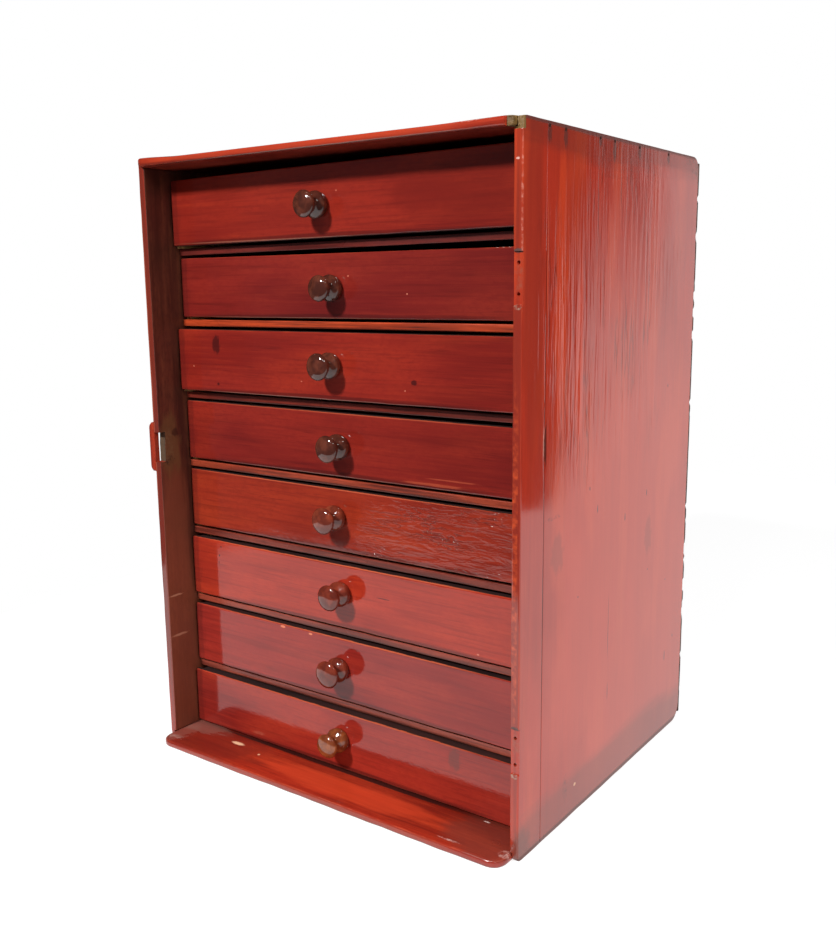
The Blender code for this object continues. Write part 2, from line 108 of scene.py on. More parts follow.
class NodeDeck:
    """A material's node tree, with short calls for the nodes that the finishes use."""

    def __init__(self, name: str) -> None:
        """Start a material that holds one Principled shader.

        Args:
            name: the material's name.
        """
        self.material = bpy.data.materials.new(name)
        self.material.use_nodes = True
        self.tree = self.material.node_tree
        self.shader = self.tree.nodes["Principled BSDF"]
        self.place = self.tree.nodes.new("ShaderNodeTexCoord").outputs["Object"]

    def feed(self, socket: Socket, value: Value | Tint) -> None:
        """Link a socket to another one, or set it to a plain value.

        Args:
            socket: the input to fill.
            value: an output socket, a number, or a colour or vector of three numbers.
        """
        if isinstance(value, bpy.types.NodeSocket):
            self.tree.links.new(value, socket)
        elif socket.type == "RGBA":
            socket.default_value = (*value, 1.0)
        else:
            socket.default_value = value

    def set(self, name: str, value: Value | Tint) -> None:
        """Fill one of the shader's own inputs."""
        self.feed(self.shader.inputs[name], value)

    def math(self, operation: str, first: Value, second: Value = 0.0, clamp: bool = False) -> Socket:
        """A sum or another operation on two numbers.

        Args:
            operation: the math node's operation.
            first, second: its operands.
            clamp: keep the result from 0 to 1.

        Returns:
            The result's socket.
        """
        node = self.tree.nodes.new("ShaderNodeMath")
        node.operation = operation
        node.use_clamp = clamp
        self.feed(node.inputs[0], first)
        self.feed(node.inputs[1], second)
        return node.outputs[0]

    def part(self, vector: Socket, axis: Axis) -> Socket:
        """One component of a vector."""
        node = self.tree.nodes.new("ShaderNodeSeparateXYZ")
        self.feed(node.inputs[0], vector)
        return node.outputs[axis.value]

    def mapped(self, kind: str, shift: Point, scale: Point) -> Socket:
        """Texture coordinates moved and scaled.

        Args:
            kind: the mapping node's type.
            shift: its location.
            scale: its scale.

        Returns:
            The coordinates' socket.
        """
        node = self.tree.nodes.new("ShaderNodeMapping")
        node.vector_type = kind
        node.inputs["Location"].default_value = shift
        node.inputs["Scale"].default_value = scale
        self.feed(node.inputs["Vector"], self.place)
        return node.outputs[0]

    def nearness(self, place: Socket) -> Socket:
        """One less the length of the coordinates, or 0 outside the unit ball."""
        node = self.tree.nodes.new("ShaderNodeTexGradient")
        node.gradient_type = "SPHERICAL"
        self.feed(node.inputs["Vector"], place)
        return node.outputs[1]

    def noise(self, place: Socket, detail: float = 2.0, rough: float = 0.5, bend: float = 0.0,
              scale: float = 1.0) -> Socket:
        """A soft noise from 0 to 1.

        Args:
            place: the coordinates.
            detail: number of finer layers.
            rough: strength of each finer layer.
            bend: how far the pattern is bent by itself.
            scale: number of features to one unit of the coordinates.

        Returns:
            The noise's socket.
        """
        node = self.tree.nodes.new("ShaderNodeTexNoise")
        self.feed(node.inputs["Vector"], place)
        node.inputs["Scale"].default_value = scale
        node.inputs["Detail"].default_value = detail
        node.inputs["Roughness"].default_value = rough
        node.inputs["Distortion"].default_value = bend
        return node.outputs[0]

    def grained(self, grain: Axis, width: float, ratio: float, seed: float, *layers: float) -> Socket:
        """A soft noise drawn out along the grain.

        Args:
            grain: the axis along which the wood grows.
            width: size of a feature across the grain.
            ratio: length of a feature over its width.
            seed: shift that gives each board its own wood.
            layers: the noise's detail, roughness and bend, where they aren't the usual ones.

        Returns:
            The noise's socket.
        """
        scale = [1 / width] * 3
        scale[grain.value] /= ratio
        shift = tuple(seed * part for part in TEXTURE_SHIFT)
        return self.noise(self.mapped("POINT", shift, tuple(scale)), *layers)

    def ramp(self, value: Value, low: float, high: float, start: float = 0.0, end: float = 1.0) -> Socket:
        """A smooth step of a value.

        Args:
            value: what is read.
            low, high: where the step begins and ends.
            start, end: the results there.

        Returns:
            The step's socket.
        """
        node = self.tree.nodes.new("ShaderNodeMapRange")
        node.interpolation_type = "SMOOTHSTEP"
        for socket, entry in zip(node.inputs, (value, low, high, start, end)):
            self.feed(socket, entry)
        return node.outputs[0]

    def mix(self, factor: Value, first: Tint, second: Tint, blend: str = "MIX") -> Socket:
        """A mix of two colours.

        Args:
            factor: the second colour's share.
            first, second: the colours.
            blend: the mix node's blend type.

        Returns:
            The mixed colour's socket.
        """
        node = self.tree.nodes.new("ShaderNodeMix")
        node.data_type = "RGBA"
        node.blend_type = blend
        self.feed(node.inputs[0], factor)
        self.feed(node.inputs[6], first)
        self.feed(node.inputs[7], second)
        return node.outputs[2]

    def layered(self, colour: Tint, *layers: Layer) -> Tint:
        """Lay tints over a colour, one after the other.

        Args:
            colour: the colour to start from.
            layers: for each tint, its pattern, where that starts and is full, its share and its colour.

        Returns:
            The last colour's socket.
        """
        for pattern, start, full, share, tint in layers:
            colour = self.mix(self.ramp(pattern, start, full, 0.0, share), colour, tint)
        return colour

    def attribute(self, name: str) -> Socket:
        """A number stored on the mesh."""
        node = self.tree.nodes.new("ShaderNodeAttribute")
        node.attribute_name = name
        return node.outputs["Fac"]

    def specks(self, width: float, share: float, size: float) -> Socket:
        """Small scattered dots.

        Args:
            width: mean distance between places where a dot may be.
            share: share of those places that have one.
            size: radius of a dot.

        Returns:
            A socket that is 1 inside the dots.
        """
        node = self.tree.nodes.new("ShaderNodeTexVoronoi")
        self.feed(node.inputs["Vector"], self.place)
        node.inputs["Scale"].default_value = 1 / width
        edge = size / width
        inside = self.ramp(node.outputs["Distance"], SPECK_CORE * edge, edge, 1.0, 0.0)
        chance = self.part(node.outputs["Color"], Axis.X)
        return self.math("MULTIPLY", inside, self.math("LESS_THAN", chance, share))

    def relief(self, height: Value, depth: float, below: Socket | None = None) -> Socket:
        """A bumped normal.

        Args:
            height: the surface's height, from 0 to 1.
            depth: real height of that span.
            below: a normal to start from.

        Returns:
            The normal's socket.
        """
        node = self.tree.nodes.new("ShaderNodeBump")
        node.inputs["Strength"].default_value = 1.0
        node.inputs["Distance"].default_value = depth
        self.feed(node.inputs["Height"], height)
        if below is not None:
            self.feed(node.inputs["Normal"], below)
        return node.outputs[0]


PATCH_ROOM = 2.0
PATCH_CORE = 0.55
PATCH_EDGE_SCALE = 4.6
PATCH_GRIT = (0.38, 0.70)


@dataclass(frozen=True)
class Patch:
    """A mark in one place on a finish: a blot with a soft, broken edge.

    The place is its middle, the reach its half sizes, ragged how far noise breaks its outline and
    matt how much rougher it is. Where grit is given, specks of that size break up the inside too.
    """

    place: Point
    reach: Point
    colour: Colour
    strength: float = 0.8
    ragged: float = 0.5
    matt: float = 0.0
    grit: float = 0.0

    def mask(self, deck: NodeDeck) -> Socket:
        """The patch's cover, from 0 to its strength.

        Args:
            deck: the material's nodes.

        Returns:
            The cover's socket.
        """
        scaled = deck.mapped("TEXTURE", self.place, tuple(PATCH_ROOM * size for size in self.reach))
        distance = deck.math("MULTIPLY", deck.math("SUBTRACT", 1.0, deck.nearness(scaled)), PATCH_ROOM)
        edge = deck.noise(scaled, detail=4.0, scale=PATCH_EDGE_SCALE)
        broken = deck.math("ADD", distance, deck.math("MULTIPLY", edge, self.ragged))
        cover = deck.ramp(broken, PATCH_CORE + self.ragged / 2, 1.0 + self.ragged / 2, self.strength, 0.0)
        if self.grit:
            flecks = deck.grained(Axis.X, self.grit, 1.0, self.place[2], 4.0, 0.6)
            cover = deck.math("MULTIPLY", cover, deck.ramp(flecks, *PATCH_GRIT))
        return cover


CRACK_LEVEL = 0.47
CRACK_EDGE = (0.008, 0.050)
CRACK_CLUSTER = 5.0


@dataclass(frozen=True)
class RaisedGrain:
    """A zone where the grain stands up in ridges with fine dark cracks between them.

    The bend is how wavy the ridges are, the length how long they are for their width, and the cut
    how deep the cracks go for the height of the ridges.
    """

    zone: Patch
    width: float = 0.0040
    length: float = 15.0
    depth: float = 0.00020
    bend: float = 0.12
    dark: float = 0.6
    cut: float = 0.10

    def ridges(self, deck: NodeDeck, grain: Axis, seed: float) -> tuple[Socket, Socket]:
        """The zone's cracks and its height.

        Args:
            deck: the material's nodes.
            grain: how the board's grain runs.
            seed: shift that gives each board its own wood.

        Returns:
            The sockets of the cracks' cover and of the height.
        """
        cover = self.zone.mask(deck)
        coarse = deck.grained(grain, self.width, self.length, seed, 2.0, 0.5, self.bend)
        cluster = deck.grained(grain, self.width * CRACK_CLUSTER, 3.0, seed + 1)
        away = deck.math("ABSOLUTE", deck.math("SUBTRACT", coarse, CRACK_LEVEL))
        line = deck.math("MULTIPLY", deck.ramp(away, *CRACK_EDGE, 1.0, 0.0), deck.ramp(cluster, 0.42, 0.58))
        crack = deck.math("MULTIPLY", line, cover)
        ridge = deck.math("MULTIPLY", coarse, cover)
        height = deck.math("SUBTRACT", ridge, deck.math("MULTIPLY", crack, self.cut))
        return deck.math("MULTIPLY", crack, self.dark), height


WEAR_BREAK = 0.9
WEAR_STEP = (1.22, 1.58)
WEAR_MATT = 0.15
SPECK_SPACING = 0.012
SPECK_RADIUS = 0.0005
SPECK_PALE = srgb(236, 190, 176)


@dataclass(frozen=True)
class StainedPine:
    """Stained pine under varnish, with its tone, growth bands, pores, wear, marks and gloss.

    Widths and depths are real sizes, and strengths run from 0 to 1.
    """

    name: str
    grain: Axis
    deep: Colour
    middle: Colour
    bright: Colour
    dark: Colour
    worn: Colour
    seed: float = 1.0
    tone_width: float = 0.045
    warm: float = 0.5
    band_width: float = 0.006
    band: float = 0.22
    streak: float = 0.22
    mottle: float = 0.40
    pore_width: float = 0.0007
    pores: float = 0.3
    wear: float = 0.7
    gloss: float = 0.10
    gloss_spread: float = 0.05
    index: float = 1.5
    grain_depth: float = 0.000014
    ripple_width: float = 0.009
    ripple_depth: float = 0.000015
    peel_depth: float = 0.00002
    raised: RaisedGrain | None = None
    specks: float = 0.0
    patches: tuple[Patch, ...] = ()

    def colour_of(self, deck: NodeDeck) -> Socket:
        """The stain's colour before wear and marks.

        Args:
            deck: the material's nodes.

        Returns:
            The colour's socket.
        """
        tone = deck.grained(self.grain, self.tone_width, 3.5, self.seed + 2)
        glow = deck.grained(self.grain, self.tone_width * 0.6, 4.0, self.seed + 5, 3.0)
        bands = deck.grained(self.grain, self.band_width, 30, self.seed, 3.0, 0.5, 0.4)
        streaks = deck.grained(self.grain, 0.0018, 26, self.seed + 12)
        grit = deck.grained(self.grain, 0.0022, 2.4, self.seed + 7, 4.0, 0.65)
        lines = deck.grained(self.grain, self.pore_width, 34, self.seed + 1, 1.0)
        cluster = deck.grained(self.grain, 0.020, 4, self.seed + 3)
        sunk = deck.math("MULTIPLY", deck.ramp(lines, 0.58, 0.72), deck.ramp(cluster, 0.42, 0.62))
        colour = deck.layered(
            deck.mix(deck.ramp(tone, 0.36, 0.62), self.deep, self.middle),
            (glow, 0.46, 0.70, self.warm, self.bright),
            (bands, 0.50, 0.72, self.band, self.dark),
            (bands, 0.48, 0.28, self.band, self.bright),
            (streaks, 0.52, 0.70, self.streak, self.dark),
            (streaks, 0.46, 0.30, self.streak, self.bright),
            (grit, 0.42, 0.70, self.mottle, self.deep),
        )
        return deck.mix(deck.math("MULTIPLY", sunk, self.pores), colour, self.dark)

    def relief_of(self, deck: NodeDeck, height: Socket | None) -> Socket:
        """The surface's normal.

        Args:
            deck: the material's nodes.
            height: height of the raised grain, if there is any.

        Returns:
            The normal's socket.
        """
        ripple = deck.grained(self.grain, self.ripple_width, 1.8, self.seed + 6)
        normal = deck.relief(ripple, self.ripple_depth)
        peel = deck.grained(self.grain, 0.0026, 1.3, self.seed + 10)
        normal = deck.relief(peel, self.peel_depth, normal)
        fibre = deck.grained(self.grain, 0.0011, 40, self.seed + 8)
        normal = deck.relief(fibre, self.grain_depth, normal)
        if height is not None:
            normal = deck.relief(height, self.raised.depth, normal)
        return normal

    def material(self) -> bpy.types.Material:
        """The finish as a material.

        Returns:
            A new procedural material.
        """
        deck = NodeDeck(self.name)
        colour = self.colour_of(deck)
        height = None
        if self.raised is not None:
            crack, height = self.raised.ridges(deck, self.grain, self.seed + 11)
            colour = deck.mix(crack, colour, self.dark)
        rubbed = deck.grained(self.grain, 0.004, 3, self.seed + 4, 4.0, 0.6)
        edge = deck.math("ADD", deck.attribute("wear"), deck.math("MULTIPLY", rubbed, WEAR_BREAK))
        worn = deck.ramp(edge, *WEAR_STEP, 0.0, self.wear)
        colour = deck.mix(worn, colour, self.worn)
        haze = deck.grained(self.grain, 0.03, 2, self.seed + 9)
        rough = deck.ramp(haze, 0.3, 0.75, self.gloss, self.gloss + self.gloss_spread)
        rough = deck.math("ADD", rough, deck.math("MULTIPLY", worn, WEAR_MATT))
        for patch in self.patches:
            cover = patch.mask(deck)
            colour = deck.mix(cover, colour, patch.colour)
            if patch.matt:
                rough = deck.math("ADD", rough, deck.math("MULTIPLY", cover, patch.matt))
        if self.specks:
            colour = deck.mix(deck.specks(SPECK_SPACING, self.specks, SPECK_RADIUS), colour, SPECK_PALE)
        deck.set("Base Color", colour)
        deck.set("Roughness", rough)
        deck.shader.inputs["IOR"].default_value = self.index
        deck.set("Normal", self.relief_of(deck, height))
        return deck.material


@dataclass(frozen=True)
class RawPine:
    """Bare or roughly stained pine without varnish."""

    name: str
    grain: Axis
    deep: Colour
    bright: Colour
    line: Colour
    seed: float = 1.0
    rough: float = 0.68
    grain_depth: float = 0.00006
    patches: tuple[Patch, ...] = ()

    def material(self) -> bpy.types.Material:
        """The finish as a material.

        Returns:
            A new procedural material.
        """
        deck = NodeDeck(self.name)
        figure = deck.grained(self.grain, 0.0058, 40, self.seed, 3.0, 0.55, 0.3)
        rings = deck.grained(self.grain, 0.0023, 75, self.seed + 3, 1.0, 0.5)
        stain = deck.grained(self.grain, 0.05, 1.5, self.seed + 2, 3.0)
        fibres = deck.grained(self.grain, 0.0007, 45, self.seed + 1)
        colour = deck.layered(
            deck.mix(deck.ramp(figure, 0.28, 0.66, 0.25, 1.0), self.deep, self.bright),
            (rings, 0.54, 0.61, 0.7, self.deep),
            (fibres, 0.55, 0.75, 0.45, self.line),
            (stain, 0.46, 0.75, 0.45, self.line),
        )
        for patch in self.patches:
            colour = deck.mix(patch.mask(deck), colour, patch.colour)
        deck.set("Base Color", colour)
        deck.set("Roughness", deck.ramp(fibres, 0.3, 0.7, self.rough - 0.08, self.rough + 0.1))
        deck.set("Normal", deck.relief(fibres, self.grain_depth))
        return deck.material


@dataclass(frozen=True)
class TurnedVarnish:
    """The dark gloss of a turned knob."""

    name: str
    deep: Colour
    bright: Colour
    seed: float = 1.0
    gloss: float = 0.05
    index: float = 1.62

    def material(self) -> bpy.types.Material:
        """The finish as a material.

        Returns:
            A new procedural material.
        """
        deck = NodeDeck(self.name)
        figure = deck.grained(Axis.Y, 0.007, 2.5, self.seed, 2.0, 0.5, 0.3)
        fibres = deck.grained(Axis.Z, 0.0008, 12, self.seed + 1, 1.0)
        colour = deck.mix(deck.ramp(figure, 0.34, 0.68), self.deep, self.bright)
        colour = deck.layered(colour, (fibres, 0.52, 0.74, 0.35, self.deep))
        deck.set("Base Color", colour)
        deck.set("Roughness", deck.ramp(figure, 0.3, 0.8, self.gloss, self.gloss + 0.04))
        deck.shader.inputs["IOR"].default_value = self.index
        ripple = deck.grained(Axis.Y, 0.006, 1.0, self.seed + 2, 1.0)
        deck.set("Normal", deck.relief(ripple, 0.00003))
        return deck.material


@dataclass(frozen=True)
class RustedIron:
    """The dark iron of an old nail's head."""

    name: str
    iron: Colour = srgb(40, 30, 27)
    rust: Colour = srgb(92, 48, 30)

    def material(self) -> bpy.types.Material:
        """The finish as a material.

        Returns:
            A new procedural material.
        """
        deck = NodeDeck(self.name)
        pits = deck.grained(Axis.Y, 0.0006, 1, 1.0, 3.0)
        deck.set("Base Color", deck.mix(deck.ramp(pits, 0.4, 0.7), self.iron, self.rust))
        deck.set("Roughness", deck.ramp(pits, 0.3, 0.7, 0.45, 0.75))
        deck.shader.inputs["Metallic"].default_value = 0.6
        deck.set("Normal", deck.relief(pits, 0.00005))
        return deck.material


SHAPE_SHIFT = (1.3, 2.1, 0.7)
SHARP_ANGLE = math.radians(42)
WELD_DISTANCE = 0.0000002
ON_FACE = 0.0001
TINY = 1e-9
RIM_SHARES = np.array((0.0, 0.06, 0.2, 0.42, 0.7, 1.0))
RIM_MARGIN = 0.0011
RIM_LIMIT = 0.48
LEAST_SPACING = 0.00002
END_ZONE = 0.001


def lattice(lines: list[np.ndarray]) -> tuple[np.ndarray, np.ndarray]:
    """The surface of a box as a grid.

    Args:
        lines: places of the grid lines along X, Y and Z.

    Returns:
        The points, and the quads that join them with their faces outwards.
    """
    counts = [len(line) for line in lines]
    steps = np.stack(np.meshgrid(*(np.arange(count) for count in counts), indexing="ij"), axis=-1)
    outer = np.zeros(counts, bool)
    for axis in range(3):
        outer |= (steps[..., axis] == 0) | (steps[..., axis] == counts[axis] - 1)
    number = np.full(counts, -1)
    number[outer] = np.arange(outer.sum())
    chosen = steps[outer]
    points = np.stack([lines[axis][chosen[:, axis]] for axis in range(3)], axis=1)
    quads = []
    for axis in range(3):
        for end in (0, -1):
            sheet = np.take(number, end, axis=axis)
            corners = [sheet[:-1, :-1], sheet[1:, :-1], sheet[1:, 1:], sheet[:-1, 1:]]
            if (axis == 1) != (end == 0):
                corners.reverse()
            quads.append(np.stack([corner.ravel() for corner in corners], axis=1))
    return points, np.concatenate(quads)


def wander(points: np.ndarray, width: float, seed: float) -> np.ndarray:
    """A smooth noise at many points.

    Args:
        points: the points, one to a row.
        width: size of a feature.
        seed: shift of the pattern.

    Returns:
        One number from about -1 to 1 for each point.
    """
    shift = Vector([seed * part for part in SHAPE_SHIFT])
    return np.array([noise.noise(Vector(point) / width + shift) for point in points])


def soft_step(values: np.ndarray, low: float, high: float) -> np.ndarray:
    """A smooth step from 0 at low to 1 at high, for many values."""
    share = np.clip((values - low) / (high - low), 0.0, 1.0)
    return share * share * (3 - 2 * share)


def fine_lines(middle: float, reach: float, count: int) -> list[float]:
    """Evenly spaced places on both sides of a middle, for a finer grid there."""
    return list(np.linspace(middle - reach, middle + reach, count))


def mesh_object(name: str, points: np.ndarray, faces: np.ndarray | list) -> bpy.types.Object:
    """A smooth mesh object that keeps its steps sharp.

    Args:
        name: the piece's name.
        points: vertex places.
        faces: vertex numbers of each face.

    Returns:
        The object, in the scene.
    """
    mesh = bpy.data.meshes.new(name)
    mesh.from_pydata([tuple(point) for point in points], [], [tuple(map(int, face)) for face in faces])
    mesh.update()
    mesh.shade_smooth()
    mesh.set_sharp_from_angle(angle=SHARP_ANGLE)
    piece = bpy.data.objects.new(name, mesh)
    bpy.context.scene.collection.objects.link(piece)
    return piece


def edit_mesh(piece: bpy.types.Object, edit: Callable[[bmesh.types.BMesh], object]) -> None:
    """Run one edit on a piece's mesh.

    Args:
        piece: the piece, whose mesh is changed.
        edit: the edit, which takes the mesh in its editable form.
    """
    shape = bmesh.new()
    shape.from_mesh(piece.data)
    edit(shape)
    shape.to_mesh(piece.data)
    shape.free()


def weld(piece: bpy.types.Object) -> None:
    """Join points that a cut has brought together, so that no face is left without an area."""
    edit_mesh(piece, lambda shape: bmesh.ops.remove_doubles(shape, verts=shape.verts[:], dist=WELD_DISTANCE))
    piece.data.set_sharp_from_angle(angle=SHARP_ANGLE)


def face_outwards(piece: bpy.types.Object) -> None:
    """Turn every face of a closed piece outwards."""
    edit_mesh(piece, lambda shape: bmesh.ops.recalc_face_normals(shape, faces=shape.faces[:]))


def turned_faces(rings: int, turn: int, start: int = 0) -> list[tuple[int, ...]]:
    """Faces that join rings of points into a closed solid.

    Args:
        rings: number of rings, one after the other.
        turn: number of points in a ring.
        start: number of the first ring's first point.

    Returns:
        Both end faces, and the quads between the rings.
    """
    last = start + (rings - 1) * turn
    faces = [tuple(range(start, start + turn)), tuple(reversed(range(last, last + turn)))]
    for ring in range(start, last, turn):
        for index in range(turn):
            following = (index + 1) % turn
            faces.append((ring + index, ring + turn + index, ring + turn + following, ring + following))
    return faces


@dataclass
class WornBoard:
    """A board with rounded outline corners and arrises that years of use have eased unevenly.

    The corners are the outline's radii, from its low corner round, and the arris holds the radius
    along the board's low face and along its high face. A leaning board climbs by its lean along X.
    """

    name: str
    low: Vector
    high: Vector
    thickness: Axis
    corners: tuple[float, float, float, float] = (0.0005, 0.0005, 0.0005, 0.0005)
    arris: tuple[float, float] = (0.0006, 0.0006)
    step: float = 0.003
    wander_share: float = 0.45
    wander_width: float = 0.016
    warp: float = 0.00005
    warp_width: float = 0.08
    wear_reach: float = 0.0016
    seed: float = 1.0
    lean: float = 0.0
    extra_lines: tuple[tuple[float, ...], tuple[float, ...], tuple[float, ...]] = ((), (), ())

    def lines_along(self, axis: int) -> np.ndarray:
        """Grid lines along one axis, closer together at the arrises.

        Args:
            axis: 0, 1 or 2 for X, Y or Z.

        Returns:
            The lines' places.
        """
        low, high = self.low[axis], self.high[axis]
        near = max(self.arris) * (1 + self.wander_share)
        rim = near * RIM_SHARES
        if axis != self.thickness.value:
            rim = np.append(rim, near + RIM_MARGIN)
        rim = rim[rim < RIM_LIMIT * (high - low)]
        count = max(1, round((high - low - 2 * rim[-1]) / self.step))
        inner = np.linspace(low + rim[-1], high - rim[-1], count + 1)
        places = np.concatenate((low + rim, inner, high - rim, np.array(self.extra_lines[axis])))
        places = np.sort(places)
        kept = np.concatenate(([True], np.diff(places) > LEAST_SPACING))
        return places[kept]

    def inward(self, points: np.ndarray) -> np.ndarray:
        """Distances from the outline's walls.

        Args:
            points: places in the square-edged box.

        Returns:
            For each point, how far it is from the nearer wall along each outline axis.
        """
        first, second = self.thickness.plane
        sizes = [np.minimum(points[:, axis] - self.low[axis], self.high[axis] - points[:, axis])
                 for axis in (first, second)]
        return np.stack(sizes, axis=1)

    def eased(self, points: np.ndarray) -> np.ndarray:
        """The box's points moved on to its worn arrises and round corners.

        Args:
            points: places in the square-edged box.

        Returns:
            The moved places.
        """
        through = self.thickness.value
        walls = self.inward(points)
        ring = walls.min(axis=1)
        wear = 1 + self.wander_share * wander(points, self.wander_width, self.seed)
        moved_through = points[:, through].copy()
        new_ring = ring.copy()
        for face, sign in ((self.low[through], 1), (self.high[through], -1)):
            radius = self.arris[0 if sign > 0 else 1] * wear
            depth = sign * (points[:, through] - face)
            near = (ring < radius) & (depth < radius)
            out = radius - ring
            up = radius - depth
            shrink = radius / np.maximum(np.hypot(out, up), TINY)
            new_ring = np.where(near, radius - out * shrink, new_ring)
            moved_through = np.where(near, face + sign * (radius - up * shrink), moved_through)
        reach = np.maximum(max(self.corners), 3 * max(self.arris))
        rate = (reach - new_ring) / np.maximum(reach - ring, TINY)
        for column in (0, 1):
            inside = walls[:, column] < reach
            walls[:, column] = np.where(inside, new_ring + (walls[:, column] - ring) * rate, walls[:, column])
        moved = points.copy()
        moved[:, through] = moved_through
        self.round_corners(points, walls, moved)
        return moved

    def round_corners(self, points: np.ndarray, walls: np.ndarray, moved: np.ndarray) -> None:
        """Turn the outline's square corners into arcs.

        Args:
            points: places in the square-edged box, which say which corner is near.
            walls: distances from the outline's walls, after easing.
            moved: the result, whose outline coordinates are set here.
        """
        first, second = self.thickness.plane
        low_first = points[:, first] - self.low[first] < self.high[first] - points[:, first]
        low_second = points[:, second] - self.low[second] < self.high[second] - points[:, second]
        spots = ((True, True), (False, True), (False, False), (True, False))
        for (at_first, at_second), radius in zip(spots, self.corners):
            here = (low_first == at_first) & (low_second == at_second)
            gap = radius - walls
            here &= (gap > 0).all(axis=1)
            length = np.maximum(np.hypot(gap[:, 0], gap[:, 1]), TINY)
            pull = gap.max(axis=1) / length
            walls[here] = radius - gap[here] * pull[here, None]
        for column, axis, is_low in ((0, first, low_first), (1, second, low_second)):
            distance = walls[:, column]
            moved[:, axis] = np.where(is_low, self.low[axis] + distance, self.high[axis] - distance)

    def build(self, *shapers: Shaper) -> bpy.types.Object:
        """Make the board.

        Args:
            shapers: functions that take the square-edged places and the worn places, and change the
                worn ones, to cut steps and breaks.

        Returns:
            The board's object, with its wear stored on its points.
        """
        points, quads = lattice([self.lines_along(axis) for axis in range(3)])
        through = self.thickness.value
        depth = np.minimum(points[:, through] - self.low[through], self.high[through] - points[:, through])
        edge = np.clip(1 - (self.inward(points).min(axis=1) + depth) / self.wear_reach, 0.0, 1.0)
        moved = self.eased(points)
        for shaper in shapers:
            shaper(points, moved)
        if self.warp:
            flat = points.copy()
            flat[:, through] = 0
            moved[:, through] += self.warp * wander(flat, self.warp_width, self.seed + 9)
        moved[:, 2] += self.lean * moved[:, 0]
        piece = mesh_object(self.name, moved, quads)
        store = piece.data.attributes.new("wear", "FLOAT", "POINT")
        store.data.foreach_set("value", edge.astype(np.float32))
        weld(piece)
        return piece


def solid_points(node: str) -> list[Vector]:
    """Places of a CAD node's vertices."""
    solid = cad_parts[node]
    return [solid.matrix_world @ vertex.co for vertex in solid.data.vertices]


def upright_box(node: str) -> tuple[Vector, Vector, float]:
    """The box of a CAD board as it would be if it lay level.

    Args:
        node: name of the CAD node.

    Returns:
        The box's low and high corners, and how much the board climbs for each metre along X.
    """
    low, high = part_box(node)
    points = solid_points(node)
    left = max(point.z for point in points if point.x < low.x + END_ZONE)
    right = max(point.z for point in points if point.x > high.x - END_ZONE)
    lean = (right - left) / (high.x - low.x)
    low.z += abs(right - left) / 2
    high.z -= abs(right - left) / 2
    return low, high, lean


def paint(piece: bpy.types.Object, finishes: list[bpy.types.Material], choose: Chooser | None = None) -> None:
    """Give a piece its materials, face by face.

    Args:
        piece: the mesh object.
        finishes: the materials.
        choose: picks a material's number from a face's centre and normal, where there are several.
    """
    piece.data.materials.clear()
    for finish in finishes:
        piece.data.materials.append(finish)
    if choose is not None:
        for face in piece.data.polygons:
            face.material_index = choose(face.center, face.normal)


def settle(piece: bpy.types.Object, body: str, slot: str, *nodes: str) -> None:
    """Let a finished piece ride on its body, in place of the nodes that it stands for.

    Args:
        piece: the mesh object.
        body: the CAD body that carries it.
        slot: not used.
        nodes: CAD nodes that it replaces.
    """
    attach(piece, body)
    if nodes:
        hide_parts(*nodes)
    LOG.info("%s rides on %s with %d faces", piece.name, body, len(piece.data.polygons))


CASE_DEEP = srgb(132, 34, 21)
CASE_MIDDLE = srgb(168, 45, 26)
CASE_BRIGHT = srgb(196, 68, 36)
CASE_DARK = srgb(66, 20, 16)
WORN_ORANGE = srgb(214, 86, 46)
INNER_DEEP = srgb(62, 28, 22)
INNER_MIDDLE = srgb(92, 42, 31)
INNER_BRIGHT = srgb(116, 62, 42)
RAW_OLIVE = srgb(136, 104, 54)
NOTCH_BROWN = srgb(86, 64, 43)
PINE_DEEP = srgb(150, 100, 56)
PINE_BRIGHT = srgb(205, 160, 104)
PINE_LINE = srgb(112, 72, 42)
BACK_DEEP = srgb(52, 33, 26)
BACK_BRIGHT = srgb(86, 60, 46)
BACK_LINE = srgb(34, 22, 18)
DUST_GREY = srgb(140, 116, 104)
SMEAR_BROWN = srgb(72, 34, 26)
CREAM_WOOD = srgb(236, 190, 150)


CASE_VARNISH = StainedPine(
    "case_varnish", Axis.Z, CASE_DEEP, CASE_MIDDLE, CASE_BRIGHT, CASE_DARK, WORN_ORANGE, gloss=0.13,
    gloss_spread=0.07,
)
INNER_STAIN = StainedPine(
    "inner_stain", Axis.Z, INNER_DEEP, INNER_MIDDLE, INNER_BRIGHT, srgb(34, 16, 13), srgb(150, 70, 48),
    gloss=0.32, gloss_spread=0.12, wear=0.4,
)
BARE_PINE = RawPine("bare_pine", Axis.X, PINE_DEEP, PINE_BRIGHT, PINE_LINE)


def torn_wood(name: str, grain: Axis, bright: Colour) -> bpy.types.Material:
    """Wood laid bare by a break.

    Args:
        name: the material's name.
        grain: how the board's grain runs.
        bright: its lightest colour.

    Returns:
        The material.
    """
    deep = shade(bright, 0.4, 0.38, 0.4)
    line = shade(bright, 0.2, 0.18, 0.2)
    return RawPine(name, grain, deep, bright, line, grain_depth=0.0003).material()


